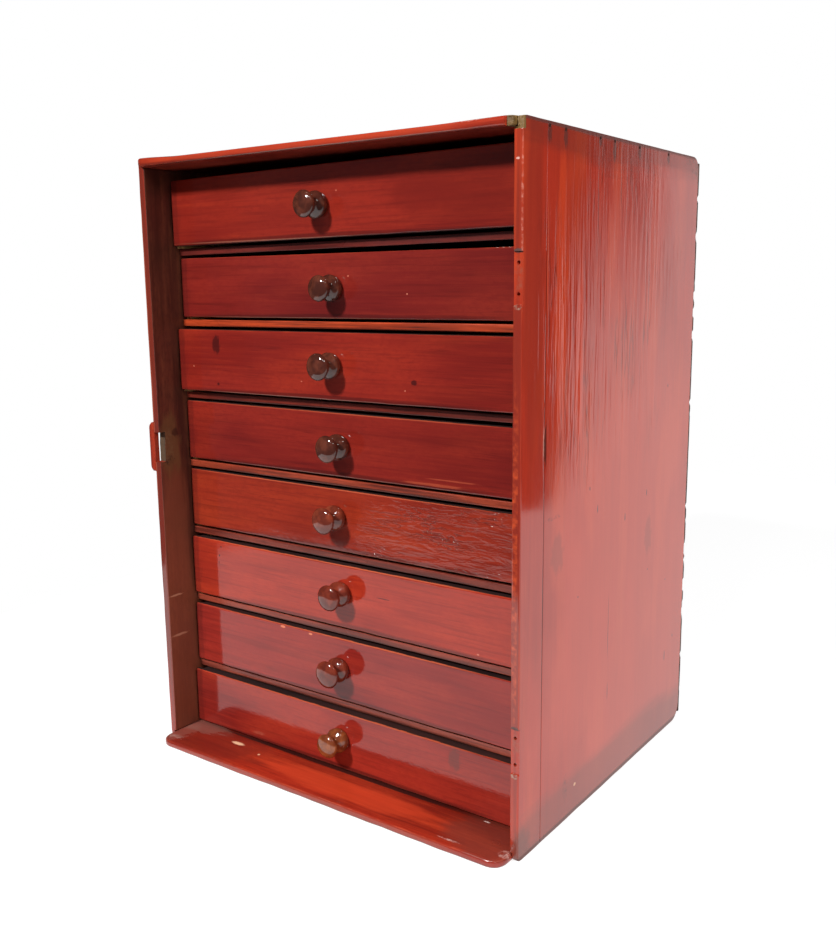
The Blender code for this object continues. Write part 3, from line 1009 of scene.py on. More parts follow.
@dataclass
class SidePanel:
    """One full-height side of the case, with its housings, hinge seats or lock notch.

    A pit has a place along Y, a height and a half length, and a nail a place along Y and the length of
    its rusty run.
    """

    hand: int
    thickness: float = 0.006
    corners: tuple[float, float, float, float] = (0.0045, 0.013, 0.009, 0.0018)
    arris: float = 0.0009
    housing_depth: float = 0.002
    housing_gap: float = 0.0003
    board_thickness: float = 0.006
    seat_depth: float = 0.0012
    seat_length: float = 0.030
    seat_heights: tuple[float, float] = (0.0745, 0.3615)
    seat_roughness: float = 0.00012
    screw_spacing: float = 0.0176
    screw_radius: float = 0.0010
    screw_depth: float = 0.004
    screw_reach: float = 0.0014
    notch_depth: float = 0.0057
    notch_taper: float = 0.0003
    notch_roughness: float = 0.0003
    notch_squeeze: float = 0.02
    notch_length: float = 0.023
    notch_middle: float = 0.2375
    notch_bare: tuple[float, float] = (0.0035, 0.0085)
    joint_back: float = 0.0286
    joint_width: float = 0.0011
    joint_depth: float = 0.0006
    joint_reach: float = 0.0021
    joint_sway: float = 0.0003
    gouge_height: float = 0.262
    gouge_reach: float = 0.013
    broken_depth: float = 0.004
    broken_height: float = 0.0075
    broken_least: float = 0.0006
    broken_roughness: float = 0.0009
    broken_bare: float = 0.0034
    wall: float = 0.00015
    pits: tuple[Point, ...] = (
        (0.0946, 0.1289, 0.0009), (0.0591, 0.1456, 0.0008), (0.1138, 0.0771, 0.0016),
        (0.0982, 0.0645, 0.0055), (-0.0560, 0.1543, 0.0008), (0.0870, 0.2815, 0.0018),
        (0.0528, 0.2056, 0.0030), (0.0155, 0.1944, 0.0036), (-0.0292, 0.2088, 0.0034),
        (-0.0415, 0.2248, 0.0016),
    )
    nails: tuple[tuple[float, float], ...] = (
        (-0.1026, 0.008), (-0.0830, 0.009), (-0.0365, 0.005), (-0.0157, 0.011), (0.0233, 0.007),
        (0.0736, 0.006),
    )

    @property
    def node(self) -> str:
        """Name of the CAD node that the panel stands for."""
        return "side_left" if self.hand < 0 else "side_right"

    def step_lines(self, *places: float) -> tuple[float, ...]:
        """Pairs of grid lines that make a crisp step at each place."""
        return tuple(place + side for place in places for side in (-self.wall, self.wall))

    def cut_housings(self, points: np.ndarray, moved: np.ndarray) -> None:
        """Let the top and the bottom into the inner face.

        Args:
            points: square-edged places.
            moved: worn places, changed here.
        """
        inner = self.inner_face
        on_inner = np.abs(points[:, 0] - inner) < self.housing_depth + ON_FACE
        high = points[:, 2] > self.top - self.board_thickness - self.housing_gap
        low = points[:, 2] < self.board_thickness + self.housing_gap
        pushed = inner + self.hand * self.housing_depth
        deep = on_inner & (high | low)
        limit = np.maximum if self.hand > 0 else np.minimum
        moved[:, 0] = np.where(deep, limit(moved[:, 0], pushed), moved[:, 0])

    def cut_seats(self, points: np.ndarray, moved: np.ndarray) -> None:
        """Cut the two hinge seats and their screw holes in the front edge.

        Args:
            points: square-edged places.
            moved: worn places, changed here.
        """
        middle = (self.inner_face + self.outer_face) / 2
        rough = self.seat_roughness * wander(points, 0.0035, 4.0)
        for height in self.seat_heights:
            inside = np.abs(points[:, 2] - height) < self.seat_length / 2
            floor = self.front + self.seat_depth + rough
            moved[:, 1] = np.where(inside, np.maximum(moved[:, 1], floor), moved[:, 1])
            for side in (-1, 1):
                away = np.hypot(points[:, 0] - middle, points[:, 2] - height - side * self.screw_spacing / 2)
                hole = (away < self.screw_radius) & (points[:, 1] < self.front + ON_FACE)
                moved[:, 1] = np.where(hole, self.front + self.screw_depth, moved[:, 1])

    def open_joint(self, points: np.ndarray, moved: np.ndarray) -> None:
        """Open the joint between the two boards, with a gouge part of the way up.

        Args:
            points: square-edged places.
            moved: worn places, changed here.
        """
        sway = self.joint_sway * wander(points * (0, 0, 1), 0.05, 2.0)
        away = np.abs(points[:, 1] - self.front - self.joint_back - sway)
        gouge = np.exp(-((points[:, 2] - self.gouge_height) / self.gouge_reach) ** 2)
        width = self.joint_width * (0.5 + 1.1 * gouge)
        depth = self.joint_depth * (0.7 + 1.6 * gouge)
        cut = depth * (1 - soft_step(away, 0.15 * width, width))
        outside = np.abs(points[:, 0] - self.outer_face) < ON_FACE
        moved[:, 0] -= np.where(outside, cut, 0.0)

    def break_corner(self, points: np.ndarray, moved: np.ndarray) -> None:
        """Break the front head corner down to ragged wood.

        Args:
            points: square-edged places.
            moved: worn places, changed here.
        """
        torn = self.broken_least + self.broken_roughness * np.abs(wander(points, 0.0022, 7.0))
        near = points[:, 1] < self.front + self.broken_depth
        near &= points[:, 2] > self.top - self.broken_height
        fade = 1 - soft_step(points[:, 1] - self.front, 0.0005, self.broken_depth)
        moved[:, 1] += np.where(near, torn * fade, 0.0)
        over = near & (points[:, 2] > self.top - 2 * ON_FACE)
        moved[:, 2] -= np.where(over, torn * fade, 0.0)

    def cut_notch(self, points: np.ndarray, moved: np.ndarray) -> None:
        """Cut the lock notch through the front edge, with torn ends.

        Args:
            points: square-edged places.
            moved: worn places, changed here.
        """
        inside = np.abs(points[:, 2] - self.notch_middle) < self.notch_length / 2
        torn = self.notch_roughness * wander(points, 0.003, 5.0)
        torn += self.notch_taper * (points[:, 2] - self.notch_middle) / self.notch_length * 2
        floor = self.front + self.notch_depth + torn
        squeezed = floor + self.notch_squeeze * (points[:, 1] - self.front)
        cut = inside & (moved[:, 1] < squeezed)
        moved[:, 1] = np.where(cut, squeezed, moved[:, 1])

    def build(self) -> bpy.types.Object:
        """Make the panel.

        Returns:
            The panel's object.
        """
        low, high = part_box(self.node)
        self.top = high.z
        self.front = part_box("side_right")[0].y
        self.rear = high.y
        low.y = self.front
        if self.hand < 0:
            low.x = high.x - self.thickness
            self.inner_face, self.outer_face = high.x, low.x
        else:
            self.inner_face, self.outer_face = low.x, high.x
        housing = self.board_thickness + self.housing_gap
        heights = list(self.step_lines(self.top - housing, housing))
        depths: list[float] = []
        widths: list[float] = []
        shapers: list[Shaper] = [self.cut_housings]
        if self.hand > 0:
            shapers += [self.open_joint, self.cut_seats, self.break_corner]
            widths += fine_lines((self.inner_face + self.outer_face) / 2, self.screw_reach, 11)
            for height in self.seat_heights:
                heights += self.step_lines(height - self.seat_length / 2, height + self.seat_length / 2)
                for side in (-1, 1):
                    heights += fine_lines(height + side * self.screw_spacing / 2, self.screw_reach, 11)
            heights += list(np.linspace(self.top - 0.0085, self.top - 0.001, 9))
            depths += fine_lines(self.front + self.joint_back, self.joint_reach, 13)
        else:
            shapers.append(self.cut_notch)
            heights += self.step_lines(self.notch_middle - self.notch_length / 2,
                                       self.notch_middle + self.notch_length / 2)
            heights += fine_lines(self.notch_middle, 0.011, 16)
            depths += list(np.linspace(self.front + 0.004, self.front + 0.009, 6))
        board = WornBoard(
            self.node + "_board", low, high, Axis.X, self.corners, (self.arris, self.arris), 0.003,
            seed=3.0 + self.hand, extra_lines=(tuple(widths), tuple(depths), tuple(heights)),
        )
        self.piece = board.build(*shapers)
        return self.piece

    def outer_marks(self) -> tuple[Patch, ...]:
        """Marks of use on the outer face and the front edge, with some painted shade and a painted highlight
        among them.
        """
        edge = (self.inner_face + self.outer_face) / 2
        front, rear, head = self.front, self.rear, self.top
        if self.hand < 0:
            return (
                Patch((edge, front, 0.24), (0.008, 0.003, 0.30), srgb(108, 42, 32), 0.9, 0.8),
                # A pale line along the outer front arris, upper half: worn wood with a painted highlight.
                Patch((self.outer_face, front, 0.30), (0.0022, 0.003, 0.16), srgb(206, 104, 72), 0.4, 1.0),
            )
        face, gouge = self.outer_face, self.gouge_height
        joint = front + self.joint_back
        dull, pale, chipped = srgb(120, 46, 36), srgb(232, 188, 176), srgb(160, 136, 118)
        marks = [
            Patch((face, 0.040, 0.130), (0.003, 0.170, 0.210), srgb(198, 76, 56), 0.5, 0.9),
            Patch((face, joint, gouge), (0.002, 0.0012, 0.014), srgb(206, 160, 140), 0.85, 0.9, 0.3),
            # Painted shade: the dark strip beside the gouge, on its shaded flank.
            Patch((face, joint + 0.0014, gouge), (0.002, 0.0012, 0.018), srgb(60, 26, 20), 0.8, 0.9),
            Patch((face, joint, 0.200), (0.002, 0.0006, 0.240), srgb(62, 26, 22), 0.8, 0.6),
            Patch((edge, front, 0.225), (0.0042, 0.0022, 0.270), srgb(126, 41, 29), 0.8, 0.7),
            Patch((face, front, 0.405), (0.0013, 0.0013, 0.050), srgb(206, 140, 124), 0.6, 1.0, 0.1, 0.004),
            Patch((edge - 0.001, front, 0.19), (0.0032, 0.0026, 0.13), srgb(208, 82, 42), 0.7, 0.9,
                  grit=0.004),
            Patch((face, -0.1031, 0.371), (0.001, 0.0003, 0.045), srgb(214, 116, 84), 0.6, 0.9),
            Patch((face, front + 0.014, 0.35), (0.003, 0.015, 0.14), srgb(136, 41, 28), 0.5, 0.9),
            Patch((face, -0.0860, 0.350), (0.002, 0.0090, 0.110), srgb(208, 70, 32), 0.45, 1.0),
            Patch((face, -0.0600, 0.300), (0.002, 0.0070, 0.080), srgb(208, 66, 30), 0.45, 1.0),
            Patch((face, rear, head), (0.003, 0.030, 0.022), srgb(120, 96, 90), 0.7, 0.9, 0.2, 0.003),
            Patch((face, 0.0, head), (0.003, 0.30, 0.0034), srgb(74, 44, 37), 0.9, 1.0, 0.2),
            Patch((face, 0.0, head), (0.003, 0.25, 0.0240), srgb(110, 38, 28), 0.5, 1.0, 0.1),
            # Dark bands along the foot: dirt, and painted shade where the side meets the floor.
            Patch((face, 0.0, 0.0), (0.004, 0.40, 0.0044), srgb(56, 33, 28), 0.9, 1.0, 0.3),
            Patch((face, 0.0, 0.0), (0.004, 0.30, 0.0380), srgb(112, 50, 38), 0.5, 1.0, 0.1),
            Patch((face, front, 0.0), (0.010, 0.026, 0.024), srgb(92, 50, 40), 0.6, 1.0, 0.2),
            Patch((face, -0.0860, 0.190), (0.002, 0.0100, 0.0160), dull, 0.4, 1.0),
            Patch((face, 0.0580, 0.172), (0.002, 0.0080, 0.0180), dull, 0.35, 1.0),
            Patch((face, -0.0700, 0.024), (0.002, 0.004, 0.012), SMEAR_BROWN, 0.55, 1.0, grit=0.003),
            Patch((face, -0.0559, 0.0208), (0.001, 0.002, 0.0014), srgb(226, 170, 130), 0.9, 0.6),
            Patch((face, -0.0083, 0.119), (0.001, 0.0005, 0.030), CASE_DARK, 0.75, 0.9),
            Patch((face, -0.0072, 0.071), (0.001, 0.0005, 0.008), CASE_DARK, 0.8, 0.8),
            Patch((face, -0.0920, 0.2148), (0.001, 0.0130, 0.0016), CASE_DARK, 0.55, 1.0, grit=0.002),
            Patch((0.1624, front, 0.4391), (0.0010, 0.002, 0.0012), pale, 0.8, 0.8),
            Patch((0.1582, front, 0.4268), (0.0014, 0.002, 0.0008), pale, 0.8, 0.8),
        ]
        for middle in self.seat_heights:
            top = middle + self.seat_length / 2
            foot = middle - self.seat_length / 2
            marks += [
                Patch((edge, front, middle), (0.004, 0.004, 0.015), srgb(150, 74, 57), 0.8, 0.6, 0.2, 0.003),
                Patch((edge, front, top + 0.0002), (0.0036, 0.003, 0.0018), srgb(70, 48, 44), 0.9, 0.7, 0.4),
                Patch((edge, front, foot - 0.0010), (0.0030, 0.003, 0.0022), chipped, 0.9, 1.0, 0.4, 0.002),
            ]
        for back, height, tall in self.pits:
            marks.append(Patch((face, back, height), (0.001, 0.0008, tall), srgb(46, 20, 17), 0.9, 0.5))
        for back, drop in self.nails:
            place = (face, back, head - 0.002 - drop / 2)
            marks.append(Patch(place, (0.002, 0.0030, drop), srgb(84, 36, 29), 0.75, 1.0, 0.1))
        return tuple(marks)

    def inner_marks(self) -> tuple[Patch, ...]:
        """Marks on the inner face: worn bare wood at the lock notch's height and painted light over the lower
        half.
        """
        face, front, notch = self.inner_face, self.front, self.notch_middle
        scratch = srgb(196, 140, 112)
        return (
            # Painted light: the lower half is lightened where light bounced off the floor falls.
            Patch((face, front + 0.012, 0.09), (0.004, 0.024, 0.17), srgb(146, 76, 52), 0.42, 1.0),
            Patch((face, front + 0.010, notch), (0.004, 0.013, 0.030), srgb(104, 70, 42), 0.6, 1.0),
            Patch((face, front + 0.008, notch), (0.004, 0.007, 0.015), srgb(112, 82, 56), 0.7, 1.0, 0.2,
                  0.003),
            Patch((face, front + 0.009, notch - 0.011), (0.004, 0.006, 0.005), srgb(40, 25, 18), 0.8, 1.0,
                  0.2, 0.0016),
            Patch((face, front + 0.016, notch + 0.010), (0.004, 0.004, 0.004), srgb(48, 24, 18), 0.7, 1.0),
            Patch((face, front + 0.008, 0.118), (0.004, 0.008, 0.0010), scratch, 0.6, 1.0),
            Patch((face, front + 0.010, 0.085), (0.004, 0.010, 0.0012), scratch, 0.5, 1.0),
        )

    def dress(self) -> None:
        """Varnish outside, brown stain inside and bare wood where it is broken."""
        inward = -self.hand
        raw = torn_wood(self.node + "_raw", Axis.Z, RAW_OLIVE if self.hand > 0 else NOTCH_BROWN)
        zone = Patch((self.outer_face, -0.016, 0.345), (0.03, 0.125, 0.160), CASE_DARK, 1.0, 0.9)
        outer = replace(
            CASE_VARNISH, name=self.node + "_varnish", seed=11.0 + self.hand, tone_width=0.05,
            band_width=0.007, band=0.09, pores=0.2, mottle=0.08, streak=0.09, grain_depth=0.00001,
            ripple_depth=0.00003, ripple_width=0.02, peel_depth=0.00001, gloss=0.07, gloss_spread=0.03,
            index=1.66, wear=0.5, specks=0.02, deep=srgb(160, 44, 27), middle=srgb(172, 48, 28),
            bright=srgb(196, 72, 37), dark=srgb(96, 28, 20), raised=RaisedGrain(zone),
            patches=self.outer_marks(),
        ).material()
        inner = replace(
            INNER_STAIN, name=self.node + "_inside", seed=21.0 + self.hand, band=0.35, streak=0.3, mottle=0.6,
            patches=self.inner_marks(),
        ).material()
        bare_from, bare_to = (self.front + depth for depth in self.notch_bare)

        def choose(centre: Vector, normal: Vector) -> int:
            """Inside stain on the inner face, raw wood in the notch and on the broken corner."""
            if self.hand < 0 and abs(centre.z - self.notch_middle) < self.notch_length / 2 + 2 * ON_FACE:
                if bare_from < centre.y < bare_to and normal.y < -0.3:
                    return 2
            if self.hand > 0 and centre.z > self.top - self.broken_height:
                if centre.y < self.front + self.broken_bare:
                    return 2
            return int(normal.x * inward > 0.7)

        paint(self.piece, [outer, inner, raw], choose)
        settle(self.piece, "carcass", "carcass", self.node)


@dataclass
class LockBar:
    """The round-ended bar that bridges the lock notch outside."""

    length: float = 0.038
    width: float = 0.005
    end_round: float = 0.0044
    inner_corner: float = 0.0003
    arris: float = 0.0015
    back_arris: float = 0.0004
    sunk: float = 0.0002
    middle: float = SidePanel.notch_middle

    def build(self) -> bpy.types.Object:
        """Make the bar.

        Returns:
            The bar's object.
        """
        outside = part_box("side_left")[0].x
        face = -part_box("side_right")[1].x
        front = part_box("side_left")[0].y
        low = Vector((outside, front, self.middle - self.length / 2))
        high = Vector((face + self.sunk, front + self.width, self.middle + self.length / 2))
        corners = (self.end_round, self.inner_corner, self.inner_corner, self.end_round)
        board = WornBoard(
            "lock_bar", low, high, Axis.Y, corners, (self.arris, self.back_arris), step=0.0009,
            wander_share=0.2, warp=0.0, seed=8.0,
        )
        self.piece = board.build()
        return self.piece

    def dress(self) -> None:
        """Varnish it red, lighter along its worn edges."""
        finish = replace(
            CASE_VARNISH, name="lock_bar_varnish", seed=31.0, wear=0.5, gloss=0.12, deep=srgb(120, 36, 25),
            middle=srgb(142, 43, 28), bright=srgb(168, 58, 34),
        ).material()
        paint(self.piece, [finish])
        settle(self.piece, "carcass", "carcass")


@dataclass
class LippedBoard:
    """The top or the bottom of the case, whose front runs out as a rounded lip."""

    node: str
    corner: float
    nosing: float
    is_top: bool
    rear_corner: float = 0.0004
    break_length: float = 0.0046
    break_depth: float = 0.0026
    break_roughness: float = 0.0005
    break_squeeze: float = 0.05
    break_bare: float = 0.010
    rubbed: float = 0.0013
    rubbed_left: tuple[float, float] = (0.004, 0.05)
    rubbed_right: float = 0.06
    rubbed_back: tuple[float, float] = (0.0005, 0.010)
    rubbed_rise: float = 0.002

    def break_end(self, points: np.ndarray, moved: np.ndarray) -> None:
        """Break away the right end of the lip.

        Args:
            points: square-edged places.
            moved: worn places, changed here.
        """
        start = self.high.x - self.break_length
        torn = self.low.y + self.break_depth + self.break_roughness * wander(points, 0.002, 3.0)
        broken = (points[:, 0] > start) & (moved[:, 1] < torn)
        squeezed = torn + self.break_squeeze * (points[:, 1] - self.low.y)
        moved[:, 1] = np.where(broken, squeezed, moved[:, 1])

    def wear_down(self, points: np.ndarray, moved: np.ndarray) -> None:
        """Rub down the upper edge of the lip, less towards its ends.

        Args:
            points: square-edged places.
            moved: worn places, changed here.
        """
        along = points[:, 0]
        length = soft_step(along - self.low.x, *self.rubbed_left)
        length *= 1 - 0.6 * soft_step(along, self.high.x - self.rubbed_right, self.high.x)
        near = 1 - soft_step(points[:, 1] - self.low.y, *self.rubbed_back)
        upper = soft_step(points[:, 2], self.low.z + self.rubbed_rise, self.high.z)
        moved[:, 2] -= self.rubbed * length * near * upper

    def build(self) -> bpy.types.Object:
        """Make the board.

        Returns:
            The board's object.
        """
        self.low, self.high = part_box(self.node)
        corners = (self.corner, self.corner, self.rear_corner, self.rear_corner)
        widths: tuple[float, ...] = ()
        shapers: list[Shaper] = []
        if self.is_top:
            start = self.high.x - self.break_length
            widths = tuple(start + beyond for beyond in (-ON_FACE, ON_FACE, 0.001, 0.002, 0.003))
            shapers += [self.wear_down, self.break_end]
        board = WornBoard(
            self.node + "_board", self.low, self.high, Axis.Z, corners, (self.nosing, self.nosing), 0.0028,
            0.3, seed=5.0 if self.is_top else 6.0, wear_reach=0.003, extra_lines=(widths, (), ()),
        )
        self.piece = board.build(*shapers)
        return self.piece

    def marks(self) -> tuple[Patch, ...]:
        """Marks on the board: dust, scuffs, bare spots, painted highlights on the top's front edge and on the
        deck's lip, and a painted shadow at the foot of the drawers.
        """
        lip, deck = self.low.y, self.high.z
        if self.is_top:
            return (
                Patch((0.0, lip, deck - 0.002), (0.17, 0.0034, 0.0050), srgb(192, 66, 38), 0.6, 0.8),
                Patch((0.0, lip + 0.0008, self.low.z), (0.17, 0.0030, 0.0012), srgb(118, 66, 52), 0.8, 0.6),
                # Painted highlight: a pale speckled line along the top's upper front edge towards its right
                # end.
                Patch((0.120, lip, deck), (0.035, 0.003, 0.002), srgb(240, 200, 186), 0.8, 1.0, 0.1, 0.0014),
            )
        pale = srgb(232, 196, 186)
        return (
            Patch((-0.120, -0.128, deck), (0.075, 0.030, 0.004), srgb(112, 33, 25), 0.65, 0.9, 0.1),
            Patch((0.022, -0.130, deck), (0.100, 0.014, 0.004), srgb(214, 72, 40), 0.6, 0.9),
            Patch((0.140, -0.125, deck), (0.045, 0.030, 0.004), srgb(112, 52, 42), 0.6, 0.9, 0.15),
            # Painted shadow: a dark line on the deck at the foot of the drawers, where the gap below them is
            # in shade.
            Patch((0.0, -0.1085, deck), (0.165, 0.0030, 0.003), srgb(44, 18, 16), 0.9, 0.6, 0.3),
            Patch((-0.146, -0.114, deck), (0.036, 0.012, 0.004), DUST_GREY, 0.32, 1.0, 0.3),
            Patch((-0.152, -0.131, deck), (0.014, 0.020, 0.004), srgb(156, 116, 102), 0.25, 1.0, 0.3),
            Patch((-0.148, -0.140, deck), (0.010, 0.0040, 0.004), srgb(206, 168, 154), 0.5, 1.0, 0.3, 0.003),
            Patch((-0.0976, -0.1207, deck), (0.0076, 0.0024, 0.002), CREAM_WOOD, 1.0, 0.5, 0.4),
            Patch((-0.0707, -0.1253, deck), (0.0013, 0.0013, 0.001), CREAM_WOOD, 0.9, 0.2),
            # Pale specks along the lip's right end: scuffs, with a painted highlight along the lip's curve.
            Patch((0.1380, -0.1500, deck), (0.0250, 0.0016, 0.003), pale, 0.85, 1.0, 0.2, 0.0018),
            Patch((0.1540, -0.1365, deck), (0.0050, 0.0050, 0.003), pale, 0.4, 1.0, 0.3, 0.003),
            Patch((0.1157, -0.1424, deck), (0.0100, 0.0012, 0.002), pale, 0.6, 1.0, 0.2, 0.0018),
            Patch((0.1246, -0.1099, deck), (0.0030, 0.0008, 0.001), pale, 0.9, 0.4),
            Patch((0.0, lip, 0.0034), (0.17, 0.0030, 0.0024), srgb(150, 58, 40), 0.7, 1.0, 0.1),
            Patch((0.0, lip + 0.001, 0.0004), (0.17, 0.0030, 0.0012), srgb(150, 102, 62), 0.8, 1.0, 0.2),
        )

    def dress(self) -> None:
        """Varnish above and on the lip, a dull stain below, bare wood on the broken end."""
        varnish = replace(
            CASE_VARNISH, name=self.node + "_varnish", grain=Axis.X, seed=41.0 + self.is_top, wear=0.5,
            specks=0.02, index=1.6, band=0.3, streak=0.3, patches=self.marks(),
        ).material()
        under = replace(
            CASE_VARNISH, name=self.node + "_under", grain=Axis.X, seed=44.0 + self.is_top,
            middle=srgb(150, 58, 46), gloss=0.3,
        ).material()
        raw = torn_wood(self.node + "_raw", Axis.X, RAW_OLIVE)
        lip_end = self.low.y + self.nosing
        broken = self.high.x - self.break_length

        def choose(centre: Vector, normal: Vector) -> int:
            """Bare wood at the broken end, a dull stain on the underside behind the nosing."""
            if self.is_top and centre.x > broken and centre.y < self.low.y + self.break_bare:
                return 2
            return int(normal.z < -0.9 and centre.y > lip_end)

        paint(self.piece, [varnish, under, raw], choose)
        settle(self.piece, "carcass", "carcass", self.node)


@dataclass
class DustBoards:
    """The boards between the drawers, whose front edges show."""

    count: int = DRAWER_COUNT - 1
    arris: float = 0.0006
    side_gap: float = 0.0001
    # Each board's colour holds painted light and shade: darker where the drawer above stands proud and shades
    # its edge, brighter where light falls on it.
    stains_with_painted_light: tuple[Colour, ...] = (
        srgb(100, 34, 28), srgb(188, 70, 34), srgb(112, 40, 30), srgb(150, 60, 38), srgb(122, 50, 37),
        srgb(142, 60, 43), srgb(148, 68, 52),
    )

    def build(self) -> list[bpy.types.Object]:
        """Make the boards.

        Returns:
            Their objects, from the top one down.
        """
        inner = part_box("side_right")[0].x - self.side_gap
        self.pieces = []
        for number in range(1, self.count + 1):
            low, high, lean = upright_box("dust_board_%d" % number)
            low.x, high.x = -inner, inner
            board = WornBoard(
                "dust_board_%d_worn" % number, low, high, Axis.Z, arris=(self.arris, self.arris), step=0.004,
                seed=50.0 + number, warp=0.0001, lean=lean,
            )
            self.pieces.append(board.build())
        return self.pieces

    def dress(self) -> None:
        """Give each its own brown with painted light and shade in it, lighter along its worn arrises and
        darker along its lower edge.
        """
        for number, (piece, stain) in enumerate(zip(self.pieces, self.stains_with_painted_light), 1):
            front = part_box("dust_board_%d" % number)[0]
            # A darker band along the board's lower edge.
            dark_lower_edge = Patch((0.0, front.y, front.z), (0.17, 0.003, 0.0020), srgb(46, 22, 18), 0.7, 1.0)
            finish = StainedPine(
                "dust_board_%d_stain" % number, Axis.X, shade(stain, 0.55, 0.5, 0.55), stain,
                shade(stain, 1.35, 1.3, 1.2), srgb(58, 20, 16), shade(stain, 1.7, 1.7, 1.7),
                seed=60.0 + number, gloss=0.25, gloss_spread=0.12, pores=0.6, wear=0.7, band=0.5,
                band_width=0.003, streak=0.5, tone_width=0.03, patches=(dark_lower_edge,),
            ).material()
            paint(piece, [finish])
            settle(piece, "carcass", "dust_board", "dust_board_%d" % number)


@dataclass
class BackPanel:
    """The rough panel nailed on behind, with its chipped edges."""

    chip_depth: float = 0.0022
    chip_width: float = 0.006
    chip_reach: float = 0.005

    def chip(self, points: np.ndarray, moved: np.ndarray) -> None:
        """Split chips off both upright edges.

        Args:
            points: square-edged places.
            moved: worn places, changed here.
        """
        along = points * (0, 0, 1)
        for sign, seed in ((1, 2.0), (-1, 3.0)):
            bite = np.clip(wander(along, self.chip_width, seed) - 0.25, 0.0, 0.5) * 2 * self.chip_depth
            edge = self.high.x if sign > 0 else self.low.x
            away = np.abs(points[:, 0] - edge)
            moved[:, 0] -= sign * bite * (1 - soft_step(away, 0.0, self.chip_reach))

    def build(self) -> bpy.types.Object:
        """Make the panel.

        Returns:
            The panel's object.
        """
        self.low, self.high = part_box("back_panel")
        board = WornBoard("back_panel_board", self.low, self.high, Axis.Y, arris=(0.0004, 0.0006), step=0.003,
                          seed=70.0, warp=0.0)
        self.piece = board.build(self.chip)
        return self.piece

    def dress(self) -> None:
        """Dark rough stain."""
        finish = RawPine(
            "back_stain", Axis.X, BACK_DEEP, BACK_BRIGHT, BACK_LINE, seed=71.0, rough=0.75,
            grain_depth=0.0001,
        ).material()
        paint(self.piece, [finish])
        settle(self.piece, "carcass", "back_panel", "back_panel")


@dataclass(frozen=True)
class FrontLook:
    """What sets one drawer's front and knob apart: stain, grain and marks."""

    stain: Colour
    knob_deep: Colour = srgb(66, 30, 22)
    knob_bright: Colour = srgb(98, 48, 34)
    raised: RaisedGrain | None = None
    worn_top: float = 0.0
    marks: tuple[Patch, ...] = ()


FLECK = srgb(206, 120, 96)
SMOKE = srgb(60, 18, 18)
GREY_SMEAR = srgb(96, 50, 44)
FRONT_LOOKS = (
    FrontLook(srgb(142, 39, 27), marks=(
        Patch((0.0069, -0.1095, 0.4200), (0.0006, 0.002, 0.0006), FLECK, 0.9, 0.4),
        Patch((0.1000, -0.1095, 0.4150), (0.0600, 0.004, 0.0200), srgb(108, 26, 20), 0.5, 1.0),
    )),
    FrontLook(srgb(130, 36, 29), marks=(
        Patch((0.0105, -0.1035, 0.3645), (0.0008, 0.002, 0.0007), FLECK, 0.8, 0.4),
        Patch((0.0594, -0.1035, 0.3525), (0.0008, 0.002, 0.0006), FLECK, 0.8, 0.4),
        *(Patch((across, -0.1035, 0.3803), (0.0013, 0.002, 0.0006), srgb(226, 180, 164), 0.9, 0.7)
          for across in (0.1270, 0.1312, 0.1358, 0.1402)),
    )),
    FrontLook(srgb(142, 38, 27), marks=(
        Patch((-0.1133, -0.1095, 0.3158), (0.0050, 0.002, 0.0085), SMOKE, 0.8, 1.0),
        Patch((-0.1127, -0.1095, 0.2864), (0.0016, 0.002, 0.0014), SMOKE, 0.85, 0.5),
        Patch((0.0685, -0.1095, 0.2960), (0.0030, 0.002, 0.0022), SMOKE, 0.85, 0.6),
        Patch((-0.1386, -0.1095, 0.2989), (0.0006, 0.002, 0.0008), FLECK, 0.8, 0.4),
        Patch((-0.0290, -0.1095, 0.2923), (0.0009, 0.002, 0.0005), FLECK, 0.8, 0.4),
        Patch((0.0612, -0.1095, 0.2904), (0.0007, 0.002, 0.0007), FLECK, 0.8, 0.4),
    )),
    FrontLook(srgb(135, 36, 27), worn_top=0.5, marks=(
        Patch((0.0800, -0.1045, 0.2290), (0.030, 0.002, 0.0012), srgb(190, 84, 56), 0.5, 1.0),
        Patch((0.0950, -0.1045, 0.2330), (0.024, 0.002, 0.0007), srgb(190, 84, 56), 0.45, 1.0),
    )),
    FrontLook(srgb(150, 46, 28), srgb(98, 39, 27), srgb(134, 58, 38), worn_top=0.7, raised=RaisedGrain(
        Patch((0.105, -0.1040, 0.1900), (0.100, 0.02, 0.060), SMOKE, 1.0, 0.8),
        width=0.0034, length=6.0, depth=0.00055, bend=0.9, dark=0.4, cut=0.35,
    )),
    FrontLook(srgb(172, 50, 31), srgb(92, 34, 24), srgb(126, 50, 33), worn_top=0.9, marks=(
        Patch((-0.1222, -0.106, 0.1580), (0.0010, 0.002, 0.0009), SMOKE, 0.9, 0.4),
        Patch((-0.1244, -0.106, 0.1508), (0.0010, 0.002, 0.0012), SMOKE, 0.9, 0.4),
        Patch((-0.1253, -0.106, 0.1453), (0.0008, 0.002, 0.0009), SMOKE, 0.9, 0.4),
        Patch((0.0376, -0.106, 0.1440), (0.0075, 0.002, 0.0005), SMOKE, 0.8, 0.8),
        Patch((0.1151, -0.106, 0.1200), (0.0012, 0.002, 0.0007), FLECK, 0.9, 0.4),
    )),
    FrontLook(srgb(156, 44, 34), srgb(92, 34, 24), srgb(124, 50, 33), worn_top=0.9, marks=(
        Patch((-0.0589, -0.106, 0.1053), (0.0030, 0.002, 0.0012), srgb(230, 130, 92), 0.9, 0.6),
        Patch((-0.0312, -0.106, 0.1049), (0.0022, 0.002, 0.0010), srgb(230, 130, 92), 0.9, 0.6),
    )),
    FrontLook(srgb(155, 44, 32), srgb(108, 49, 26), srgb(146, 78, 40), worn_top=0.7, marks=(
        Patch((0.0985, -0.1095, 0.0430), (0.0060, 0.002, 0.0100), GREY_SMEAR, 0.6, 1.0, 0.2),
    )),
)


